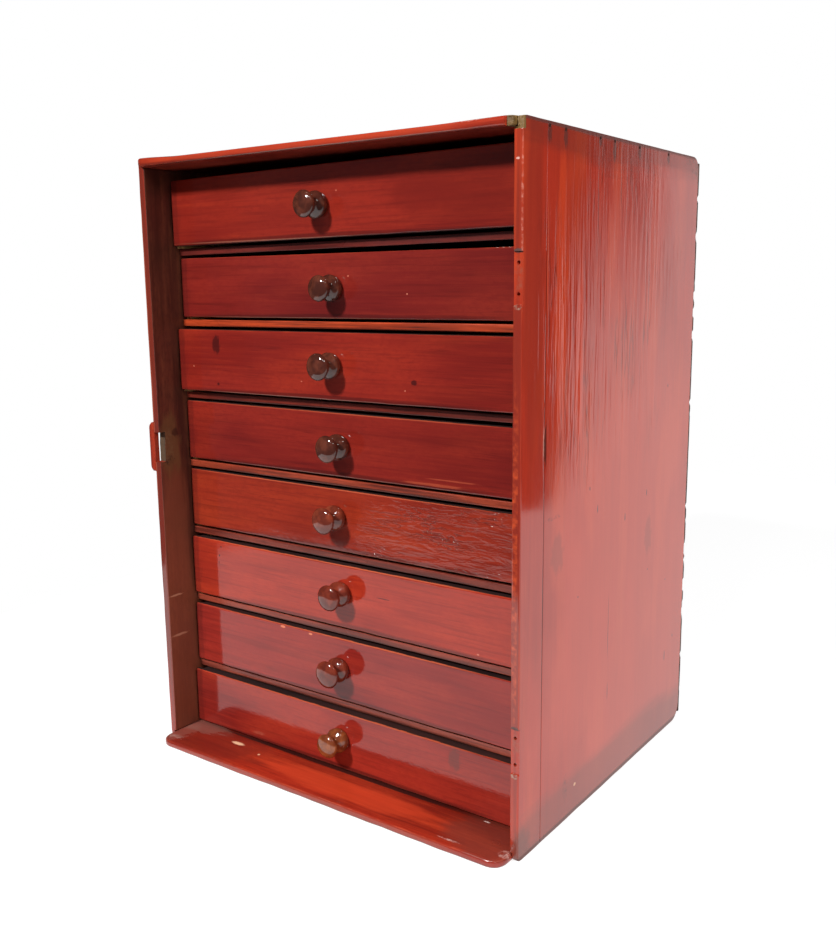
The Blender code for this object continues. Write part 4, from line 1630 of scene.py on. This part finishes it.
@dataclass
class Drawer:
    """One drawer: its varnished front, its turned knob and its pine box."""

    number: int
    corner: float = 0.0012
    arris: float = 0.0009
    back_arris: float = 0.0004
    side_thickness: float = 0.005
    lap: float = 0.003
    gap: float = 0.0003
    knob_segments: int = 56
    bead_steps: int = 8
    curve_steps: int = 12
    foot_radius: float = 0.004
    seat_radius: float = 0.0076
    bead_radius: float = 0.0092
    bead_at: float = 0.0042
    waist_radius: float = 0.0050
    waist_at: float = 0.0094
    cap_at: float = 0.0150
    length: float = 0.0186
    crown_point: float = 0.00001

    @property
    def name(self) -> str:
        """The drawer's name, which is also its body's."""
        return "drawer_%d" % self.number

    @property
    def lap_start(self) -> float:
        """Distance from the middle to the rebate at each end of the front."""
        return self.high.x - self.side_thickness - self.gap

    def cut_laps(self, points: np.ndarray, moved: np.ndarray) -> None:
        """Rebate the ends for the drawer's sides.

        Args:
            points: square-edged places.
            moved: worn places, changed here.
        """
        outer = np.abs(points[:, 0]) > self.lap_start
        moved[:, 1] = np.where(outer, np.minimum(moved[:, 1], self.low.y + self.lap), moved[:, 1])

    def build_front(self) -> bpy.types.Object:
        """Make the front board.

        Returns:
            The front's object.
        """
        self.low, self.high, lean = upright_box(self.name + "_front")
        ends = tuple(sign * (self.lap_start + side) for sign in (-1, 1) for side in (-ON_FACE, ON_FACE))
        board = WornBoard(
            self.name + "_front_board", self.low, self.high, Axis.Y, (self.corner,) * 4,
            (self.arris, self.back_arris), step=0.0026, wander_share=0.4, seed=80.0 + self.number,
            warp=0.00006, warp_width=0.06, lean=lean, extra_lines=(ends, (self.low.y + self.lap,), ()),
        )
        self.front = board.build(self.cut_laps)
        return self.front

    def knob_profile(self) -> list[tuple[float, float]]:
        """Stations along the knob.

        Returns:
            Pairs of distance from the front's face and radius, from the seat to the crown.
        """
        stations = [(0.0, self.foot_radius), (0.0, self.seat_radius)]
        for step in range(1, self.bead_steps + 1):
            angle = math.pi / 2 * step / self.bead_steps
            swell = (self.bead_radius - self.seat_radius) * math.sin(angle)
            stations.append((self.bead_at * (1 - math.cos(angle)), self.seat_radius + swell))
        spans = ((self.bead_at, self.waist_at, self.bead_radius, self.waist_radius),
                 (self.waist_at, self.cap_at, self.waist_radius, self.cap_radius))
        for start, end, from_radius, to_radius in spans:
            for step in range(1, self.curve_steps + 1):
                share = step / self.curve_steps
                blend = (1 - math.cos(math.pi * share)) / 2
                radius = from_radius + (to_radius - from_radius) * blend
                stations.append((start + (end - start) * share, radius))
        for step in range(1, self.curve_steps + 1):
            angle = math.pi / 2 * step / self.curve_steps
            out = self.cap_at + (self.length - self.cap_at) * math.sin(angle)
            stations.append((out, max(self.cap_radius * math.cos(angle), self.crown_point)))
        return stations

    def crown_radius(self) -> float:
        """Radius of the CAD knob's cap, near its crown."""
        low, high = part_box(self.name + "_knob")
        middle = (low + high) / 2
        return max(math.hypot(point.x - middle.x, point.z - middle.z)
                   for point in solid_points(self.name + "_knob")
                   if point.y < low.y + self.length - self.waist_at)

    def build_knob(self) -> bpy.types.Object:
        """Turn the knob.

        Returns:
            The knob's object.
        """
        low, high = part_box(self.name + "_knob")
        middle = (low + high) / 2
        self.cap_radius = self.crown_radius()
        stations = self.knob_profile()
        points = []
        for out, radius in stations:
            for index in range(self.knob_segments):
                angle = 2 * math.pi * index / self.knob_segments
                points.append((middle.x + radius * math.cos(angle), low.y + self.length - out,
                               middle.z + radius * math.sin(angle)))
        faces = turned_faces(len(stations), self.knob_segments)
        self.knob = mesh_object(self.name + "_knob_turned", np.array(points), faces)
        face_outwards(self.knob)
        return self.knob

    def build(self) -> None:
        """Make the front and the knob."""
        self.build_front()
        self.build_knob()

    def dress(self) -> None:
        """Varnish the front and the knob, and leave the box bare."""
        look = FRONT_LOOKS[self.number - 1]
        head = (0.0, self.low.y, self.high.z)
        foot = (0.0, self.low.y, self.low.z)
        middle = (self.low.z + self.high.z) / 2
        worn_edge = Patch(head, (0.17, 0.0022, 0.0010), srgb(190, 92, 62), look.worn_top, 0.9)
        worn_foot = Patch(foot, (0.17, 0.0016, 0.0008), srgb(150, 92, 72), 0.6, 0.9)
        # Darker along the front's bottom edge and at both its ends.
        darker_foot_band = Patch(foot, (0.18, 0.004, 0.0040), SMOKE, 0.6, 1.0)
        ends = [Patch((side, self.low.y, middle), (0.010, 0.004, 0.05), SMOKE, 0.36, 1.0)
                for side in (self.low.x, self.high.x)]
        varnish = StainedPine(
            self.name + "_front_varnish", Axis.X, shade(look.stain, 0.70, 0.64, 0.80), look.stain,
            shade(look.stain, 1.25, 1.50, 1.15), srgb(66, 17, 16), srgb(208, 88, 50), seed=90.0 + self.number,
            gloss=0.06, gloss_spread=0.04, band=0.22, warm=0.5, wear=0.45, specks=0.015,
            peel_depth=0.00004, raised=look.raised, patches=(darker_foot_band, *ends, worn_edge, worn_foot, *look.marks),
        ).material()
        bare = replace(BARE_PINE, name=self.name + "_front_back", seed=100.0 + self.number).material()
        edges = replace(
            INNER_STAIN, name=self.name + "_front_edges", grain=Axis.X, seed=130.0 + self.number,
            deep=srgb(34, 14, 12), middle=srgb(48, 20, 16), bright=srgb(62, 28, 20), gloss=0.6,
        ).material()

        def choose(centre: Vector, normal: Vector) -> int:
            """Varnish in front, bare pine behind and brown stain on the edges."""
            if normal.y > 0.7:
                return 1
            return 0 if normal.y < -0.25 else 2

        paint(self.front, [varnish, bare, edges], choose)
        settle(self.front, self.name, "drawer_front", self.name + "_front")
        knob = TurnedVarnish(
            self.name + "_knob_varnish", look.knob_deep, look.knob_bright, self.number,
        ).material()
        paint(self.knob, [knob])
        settle(self.knob, self.name, "knob", self.name + "_knob")
        self.dress_box()

    def dress_box(self) -> None:
        """Give the box's CAD nodes their bare pine, darker towards the front."""
        runs = {"side_left": Axis.Y, "side_right": Axis.Y, "back": Axis.X, "bottom": Axis.X}
        # Darker towards the front of the box, where it shows through the gaps between the drawers.
        darker_box_front = Patch((0.0, self.low.y, self.low.z + 0.02), (0.20, 0.022, 0.06), srgb(40, 20, 16), 0.95, 0.4)
        for order, (part, grain) in enumerate(runs.items()):
            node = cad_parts["%s_%s" % (self.name, part)]
            finish = replace(
                BARE_PINE, name="%s_%s_pine" % (self.name, part), grain=grain,
                seed=110.0 + 5 * self.number + order, patches=(darker_box_front,),
            ).material()
            node.data.materials.clear()
            node.data.materials.append(finish)
            LOG.info("%s keeps its solid", node.name)


@dataclass
class NailHeads:
    """Nail heads along the right side's top edge and panel pins round the back."""

    radius: float = 0.0011
    rise: float = 0.00035
    sunk: float = 0.0006
    nail_drop: float = 0.003
    pin_spacing: float = 0.062
    inset: float = 0.004
    segments: int = 18

    @property
    def rings(self) -> tuple[tuple[float, float], ...]:
        """Height and share of the radius for each ring of a head, from its sunk foot to its crown."""
        dome = tuple((share * self.rise, width) for share, width in ((0.6, 0.82), (0.93, 0.45), (1.0, 0.12)))
        return (-self.sunk, 0.9), (0.0, 1.0), *dome

    def head(self, place: Vector, outward: Axis) -> list[Point]:
        """Points of one low round head, ring by ring.

        Args:
            place: middle of its foot.
            outward: the axis along which it stands out.

        Returns:
            The points' places.
        """
        first, second = outward.plane
        points = []
        for height, share in self.rings:
            for index in range(self.segments):
                angle = 2 * math.pi * index / self.segments
                spot = place.copy()
                spot[outward.value] += height
                spot[first] += self.radius * share * math.cos(angle)
                spot[second] += self.radius * share * math.sin(angle)
                points.append(tuple(spot))
        return points

    def places(self) -> list[tuple[Vector, Axis]]:
        """Every head's foot and the axis along which it stands out.

        Returns:
            One entry for each head.
        """
        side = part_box("side_right")[1]
        spots = [(Vector((side.x, back, side.z - self.nail_drop)), Axis.X) for back, _ in SidePanel.nails]
        low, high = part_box("back_panel")
        across = round((high.x - low.x) / self.pin_spacing)
        upward = round((high.z - low.z) / self.pin_spacing)
        for index in range(across + 1):
            x = low.x + self.inset + (high.x - low.x - 2 * self.inset) * index / across
            for z in (low.z + self.inset, high.z - self.inset):
                spots.append((Vector((x, high.y, z)), Axis.Y))
        for index in range(1, upward):
            z = low.z + self.inset + (high.z - low.z - 2 * self.inset) * index / upward
            for x in (low.x + self.inset, high.x - self.inset):
                spots.append((Vector((x, high.y, z)), Axis.Y))
        return spots

    def build(self) -> bpy.types.Object:
        """Make the heads as one object.

        Returns:
            The object.
        """
        points: list[Point] = []
        faces: list[tuple[int, ...]] = []
        for place, outward in self.places():
            faces += turned_faces(len(self.rings), self.segments, len(points))
            points += self.head(place, outward)
        self.piece = mesh_object("nail_heads", np.array(points), faces)
        face_outwards(self.piece)
        return self.piece

    def dress(self) -> None:
        """Dark rusted iron."""
        paint(self.piece, [RustedIron("nail_iron").material()])
        settle(self.piece, "carcass", "carcass")


def standing(first: tuple[float, float], second: tuple[float, float], low: float, high: float) -> list[Point]:
    """Corners of an upright rectangle over the line between two places on the ground."""
    return [(*first, low), (*second, low), (*second, high), (*first, high)]


def lying(low: tuple[float, float], high: tuple[float, float], height: float) -> list[Point]:
    """Corners of a level rectangle between two places at one height."""
    return [(*low, height), (high[0], low[1], height), (*high, height), (low[0], high[1], height)]


@dataclass
class Studio:
    """Floor, backdrop, the darker room that the varnish mirrors, lamps and camera.

    The screen edge outlines a dark screen in front of the backdrop, which the right side mirrors.
    """

    lens: float = 38.66
    sensor: float = 36.0
    clip_start: float = 0.01
    camera_place: Point = (0.45044, -0.63663, 0.36023)
    heading: float = 35.754
    pitch: float = -10.566
    roll: float = -0.631
    floor_low: tuple[float, float] = (-0.56, -0.60)
    floor_high: tuple[float, float] = (0.90, 1.2)
    floor_colour: Colour = (0.42, 0.42, 0.42)
    floor_seen: Colour = (0.28, 0.28, 0.28)
    floor_glow: float = 0.89
    backdrop_side: float = 1.2
    backdrop_step: float = 0.63
    backdrop_height: float = 1.4
    mirrored_white: float = 1.0
    screen_back: float = 0.6
    screen_edge: tuple[tuple[float, float], ...] = (
        (1.6, 0.022), (0.579, 0.033), (0.545, 0.042), (0.528, 0.066), (0.512, 0.170), (0.505, 0.290),
        (0.495, 0.421), (0.451, 0.544), (0.34, 0.85), (0.34, 1.6), (1.6, 1.6),
    )
    mirrored_floor: float = 0.0006
    room: float = 2.8
    room_ground: float = -0.01
    room_dim: Colour = (0.040, 0.036, 0.036)
    room_grey: Colour = (0.09, 0.085, 0.095)
    ambient: float = 0.10
    lamp_aim: Point = (0.0, -0.11, 0.225)
    key_place: Point = (-0.28, -1.91, 1.60)
    key_size: float = 0.22
    key_power: float = 57.5
    fill_place: Point = (2.4, -0.3, 1.0)
    fill_size: float = 1.6
    fill_power: float = 56.0
    glint_left: Point = (0.5, -1.8, 1.6)
    glint_right: Point = (1.1, -1.4, 1.6)
    glint_size: float = 0.09
    glint_power: float = 2.5

    def sheet(self, name: str, corners: list[Point]) -> bpy.types.Object:
        """A flat stage piece.

        Args:
            name: its name.
            corners: its corners in order.

        Returns:
            The object.
        """
        mesh = bpy.data.meshes.new(name)
        mesh.from_pydata(corners, [], [tuple(range(len(corners)))])
        piece = bpy.data.objects.new(name, mesh)
        bpy.context.scene.collection.objects.link(piece)
        return piece

    def plain_emission(self, name: str, colour: Colour, strength: float) -> bpy.types.Material:
        """A flat glowing material for what only reflections see.

        Args:
            name: the material's name.
            colour: its colour.
            strength: its strength.

        Returns:
            The material.
        """
        material = bpy.data.materials.new(name)
        material.use_nodes = True
        tree = material.node_tree
        tree.nodes.clear()
        glow = tree.nodes.new("ShaderNodeEmission")
        glow.inputs["Color"].default_value = (*colour, 1.0)
        glow.inputs["Strength"].default_value = strength
        output = tree.nodes.new("ShaderNodeOutputMaterial")
        tree.links.new(glow.outputs[0], output.inputs["Surface"])
        return material

    def fading_emission(self, name: str, level: float, slope: Point, dimmest: float) -> bpy.types.Material:
        """A white glowing material whose strength changes across the room.

        Args:
            name: the material's name.
            level: its share of the mirrored white at the origin, before the limits.
            slope: change of that share for each metre.
            dimmest: its least share.

        Returns:
            The material.
        """
        material = self.plain_emission(name, (1.0, 1.0, 1.0), 1.0)
        tree = material.node_tree
        along = tree.nodes.new("ShaderNodeVectorMath")
        along.operation = "DOT_PRODUCT"
        along.inputs[1].default_value = slope
        tree.links.new(tree.nodes.new("ShaderNodeNewGeometry").outputs["Position"], along.inputs[0])
        limits = tree.nodes.new("ShaderNodeMapRange")
        limits.inputs["From Min"].default_value = dimmest - level
        limits.inputs["From Max"].default_value = 1.0 - level
        limits.inputs["To Min"].default_value = dimmest * self.mirrored_white
        limits.inputs["To Max"].default_value = self.mirrored_white
        tree.links.new(along.outputs["Value"], limits.inputs["Value"])
        tree.links.new(limits.outputs[0], tree.nodes["Emission"].inputs["Strength"])
        return material

    def only_mirrored(self, piece: bpy.types.Object) -> None:
        """Show a stage piece in reflections alone."""
        piece.visible_camera = False
        piece.visible_diffuse = False
        piece.visible_transmission = False
        piece.visible_shadow = False

    def seen_directly(self, tree: bpy.types.NodeTree) -> Socket:
        """A switch for what the camera, a mirror or glass sees.

        Args:
            tree: the node tree that needs it.

        Returns:
            A socket that is 1 for those rays and 0 for diffuse light.
        """
        light = tree.nodes.new("ShaderNodeLightPath")
        result = light.outputs["Is Camera Ray"]
        for name in ("Is Glossy Ray", "Is Transmission Ray"):
            either = tree.nodes.new("ShaderNodeMath")
            either.operation = "MAXIMUM"
            tree.links.new(result, either.inputs[0])
            tree.links.new(light.outputs[name], either.inputs[1])
            result = either.outputs[0]
        return result

    def build_floor(self) -> None:
        """A white floor that keeps the cabinet's shadow."""
        floor = self.sheet("floor", lying(self.floor_low, self.floor_high, 0.0))
        material = bpy.data.materials.new("floor_paper")
        material.use_nodes = True
        tree = material.node_tree
        tree.nodes.clear()
        paper = tree.nodes.new("ShaderNodeBsdfDiffuse")
        paper.inputs["Color"].default_value = (*self.floor_colour, 1.0)
        shaded = tree.nodes.new("ShaderNodeBsdfDiffuse")
        shaded.inputs["Color"].default_value = (*self.floor_seen, 1.0)
        glow = tree.nodes.new("ShaderNodeEmission")
        glow.inputs["Strength"].default_value = self.floor_glow
        seen = tree.nodes.new("ShaderNodeAddShader")
        tree.links.new(shaded.outputs[0], seen.inputs[0])
        tree.links.new(glow.outputs[0], seen.inputs[1])
        blend = tree.nodes.new("ShaderNodeMixShader")
        tree.links.new(self.seen_directly(tree), blend.inputs[0])
        tree.links.new(paper.outputs[0], blend.inputs[1])
        tree.links.new(seen.outputs[0], blend.inputs[2])
        output = tree.nodes.new("ShaderNodeOutputMaterial")
        tree.links.new(blend.outputs[0], output.inputs["Surface"])
        floor.data.materials.append(material)

    def build_surroundings(self) -> None:
        """The white backdrop and the darker room, seen only as reflections."""
        side, step, rear = self.backdrop_side, self.backdrop_step, self.floor_high[1]
        head, foot, front = self.backdrop_height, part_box("side_right")[1].x, self.floor_low[1]
        papers = {
            "backdrop_bright": (standing((-side, rear), (step, rear), 0.0, head),
                                self.fading_emission("paper_bright", 2.16, (0.0, 0.0, -2.16), 0.36)),
            "backdrop_dim": (standing((step, rear), (side, rear), 0.0, head),
                             self.fading_emission("paper_dim", 1.66, (0.0, 0.0, -2.7), 0.22)),
            "floor_mirrored": (lying((foot, front), (side, rear), self.mirrored_floor),
                               self.fading_emission("floor_shaded", 0.18, (5.58, 0.0, 0.0), 0.9)),
        }
        for name, (corners, paper) in papers.items():
            sheet = self.sheet(name, corners)
            sheet.data.materials.append(paper)
            self.only_mirrored(sheet)
        size, ground = self.room, self.room_ground
        low, high = (-size, -size), (size, size)
        walls = {
            "room_front": standing(low, (size, -size), ground, size),
            "room_rear": standing((-size, size), high, ground, size),
            "room_left": standing(low, (-size, size), ground, size),
            "room_right": standing((size, -size), high, ground, size),
            "room_ceiling": lying(low, high, size),
            "room_ground": lying(low, high, ground),
            "room_screen": [(x, self.screen_back, z) for x, z in self.screen_edge],
        }
        dim = self.plain_emission("room_dim", self.room_dim, 1.0)
        grey = self.plain_emission("room_grey", self.room_grey, 1.0)
        for name, corners in walls.items():
            wall = self.sheet(name, corners)
            wall.data.materials.append(grey if name in ("room_front", "room_ground") else dim)
            self.only_mirrored(wall)

    def lamp(self, name: str, place: Point, aim: Point, size: float, power: float) -> bpy.types.Object:
        """A square soft lamp.

        Args:
            name: its name.
            place: where it hangs.
            aim: the point it faces.
            size: its edge length.
            power: its power.

        Returns:
            The lamp's object.
        """
        light = bpy.data.lights.new(name, "AREA")
        light.shape = "SQUARE"
        light.size = size
        light.energy = power
        item = bpy.data.objects.new(name, light)
        item.location = place
        item.rotation_euler = (Vector(aim) - Vector(place)).to_track_quat("-Z", "Y").to_euler()
        bpy.context.scene.collection.objects.link(item)
        return item

    def build_lamps(self) -> None:
        """A key lamp in front and above, a broad fill from the right, two small glints and a plain world."""
        aim = self.lamp_aim
        self.lamp("key_lamp", self.key_place, aim, self.key_size, self.key_power)
        fill = self.lamp("fill_lamp", self.fill_place, aim, self.fill_size, self.fill_power)
        fill.visible_glossy = False
        self.lamp("glint_lamp_left", self.glint_left, aim, self.glint_size, self.glint_power)
        self.lamp("glint_lamp_right", self.glint_right, aim, self.glint_size, self.glint_power)
        world = bpy.data.worlds.new("studio_world")
        bpy.context.scene.world = world
        world.use_nodes = True
        tree = world.node_tree
        back = tree.nodes["Background"]
        strength = tree.nodes.new("ShaderNodeMapRange")
        strength.inputs["To Min"].default_value = self.ambient
        strength.inputs["To Max"].default_value = 1.0
        tree.links.new(self.seen_directly(tree), strength.inputs["Value"])
        tree.links.new(strength.outputs[0], back.inputs["Strength"])
        back.inputs["Color"].default_value = (1.0, 1.0, 1.0, 1.0)

    def build_camera(self) -> None:
        """The camera at the photograph's viewing angle."""
        data = bpy.data.cameras.new("camera")
        data.sensor_width = self.sensor
        data.lens = self.lens
        data.clip_start = self.clip_start
        camera = bpy.data.objects.new("camera", data)
        turn = Euler((math.radians(90 + self.pitch), 0.0, math.radians(self.heading))).to_matrix()
        turn = turn @ Matrix.Rotation(math.radians(self.roll), 3, "Z")
        camera.matrix_world = Matrix.Translation(Vector(self.camera_place)) @ turn.to_4x4()
        bpy.context.scene.collection.objects.link(camera)
        bpy.context.scene.camera = camera

    def build(self) -> None:
        """Set up the whole studio."""
        self.build_floor()
        self.build_surroundings()
        self.build_lamps()
        self.build_camera()
        bpy.context.scene.view_settings.view_transform = "Standard"
        LOG.info("studio is set")


def main() -> None:
    """Build every sub-assembly in order."""
    logging.basicConfig(level=logging.INFO, format="%(name)s: %(message)s")
    Studio().build()
    assemblies = [
        SidePanel(-1),
        SidePanel(1),
        LockBar(),
        LippedBoard("top_board", corner=0.0045, nosing=0.0018, is_top=True),
        LippedBoard("bottom_board", corner=0.011, nosing=0.0024, is_top=False),
        DustBoards(),
        BackPanel(),
        NailHeads(),
        *(Drawer(number) for number in range(1, DRAWER_COUNT + 1)),
    ]
    for assembly in assemblies:
        assembly.build()
        assembly.dress()


if __name__ == "__main__":
    main()
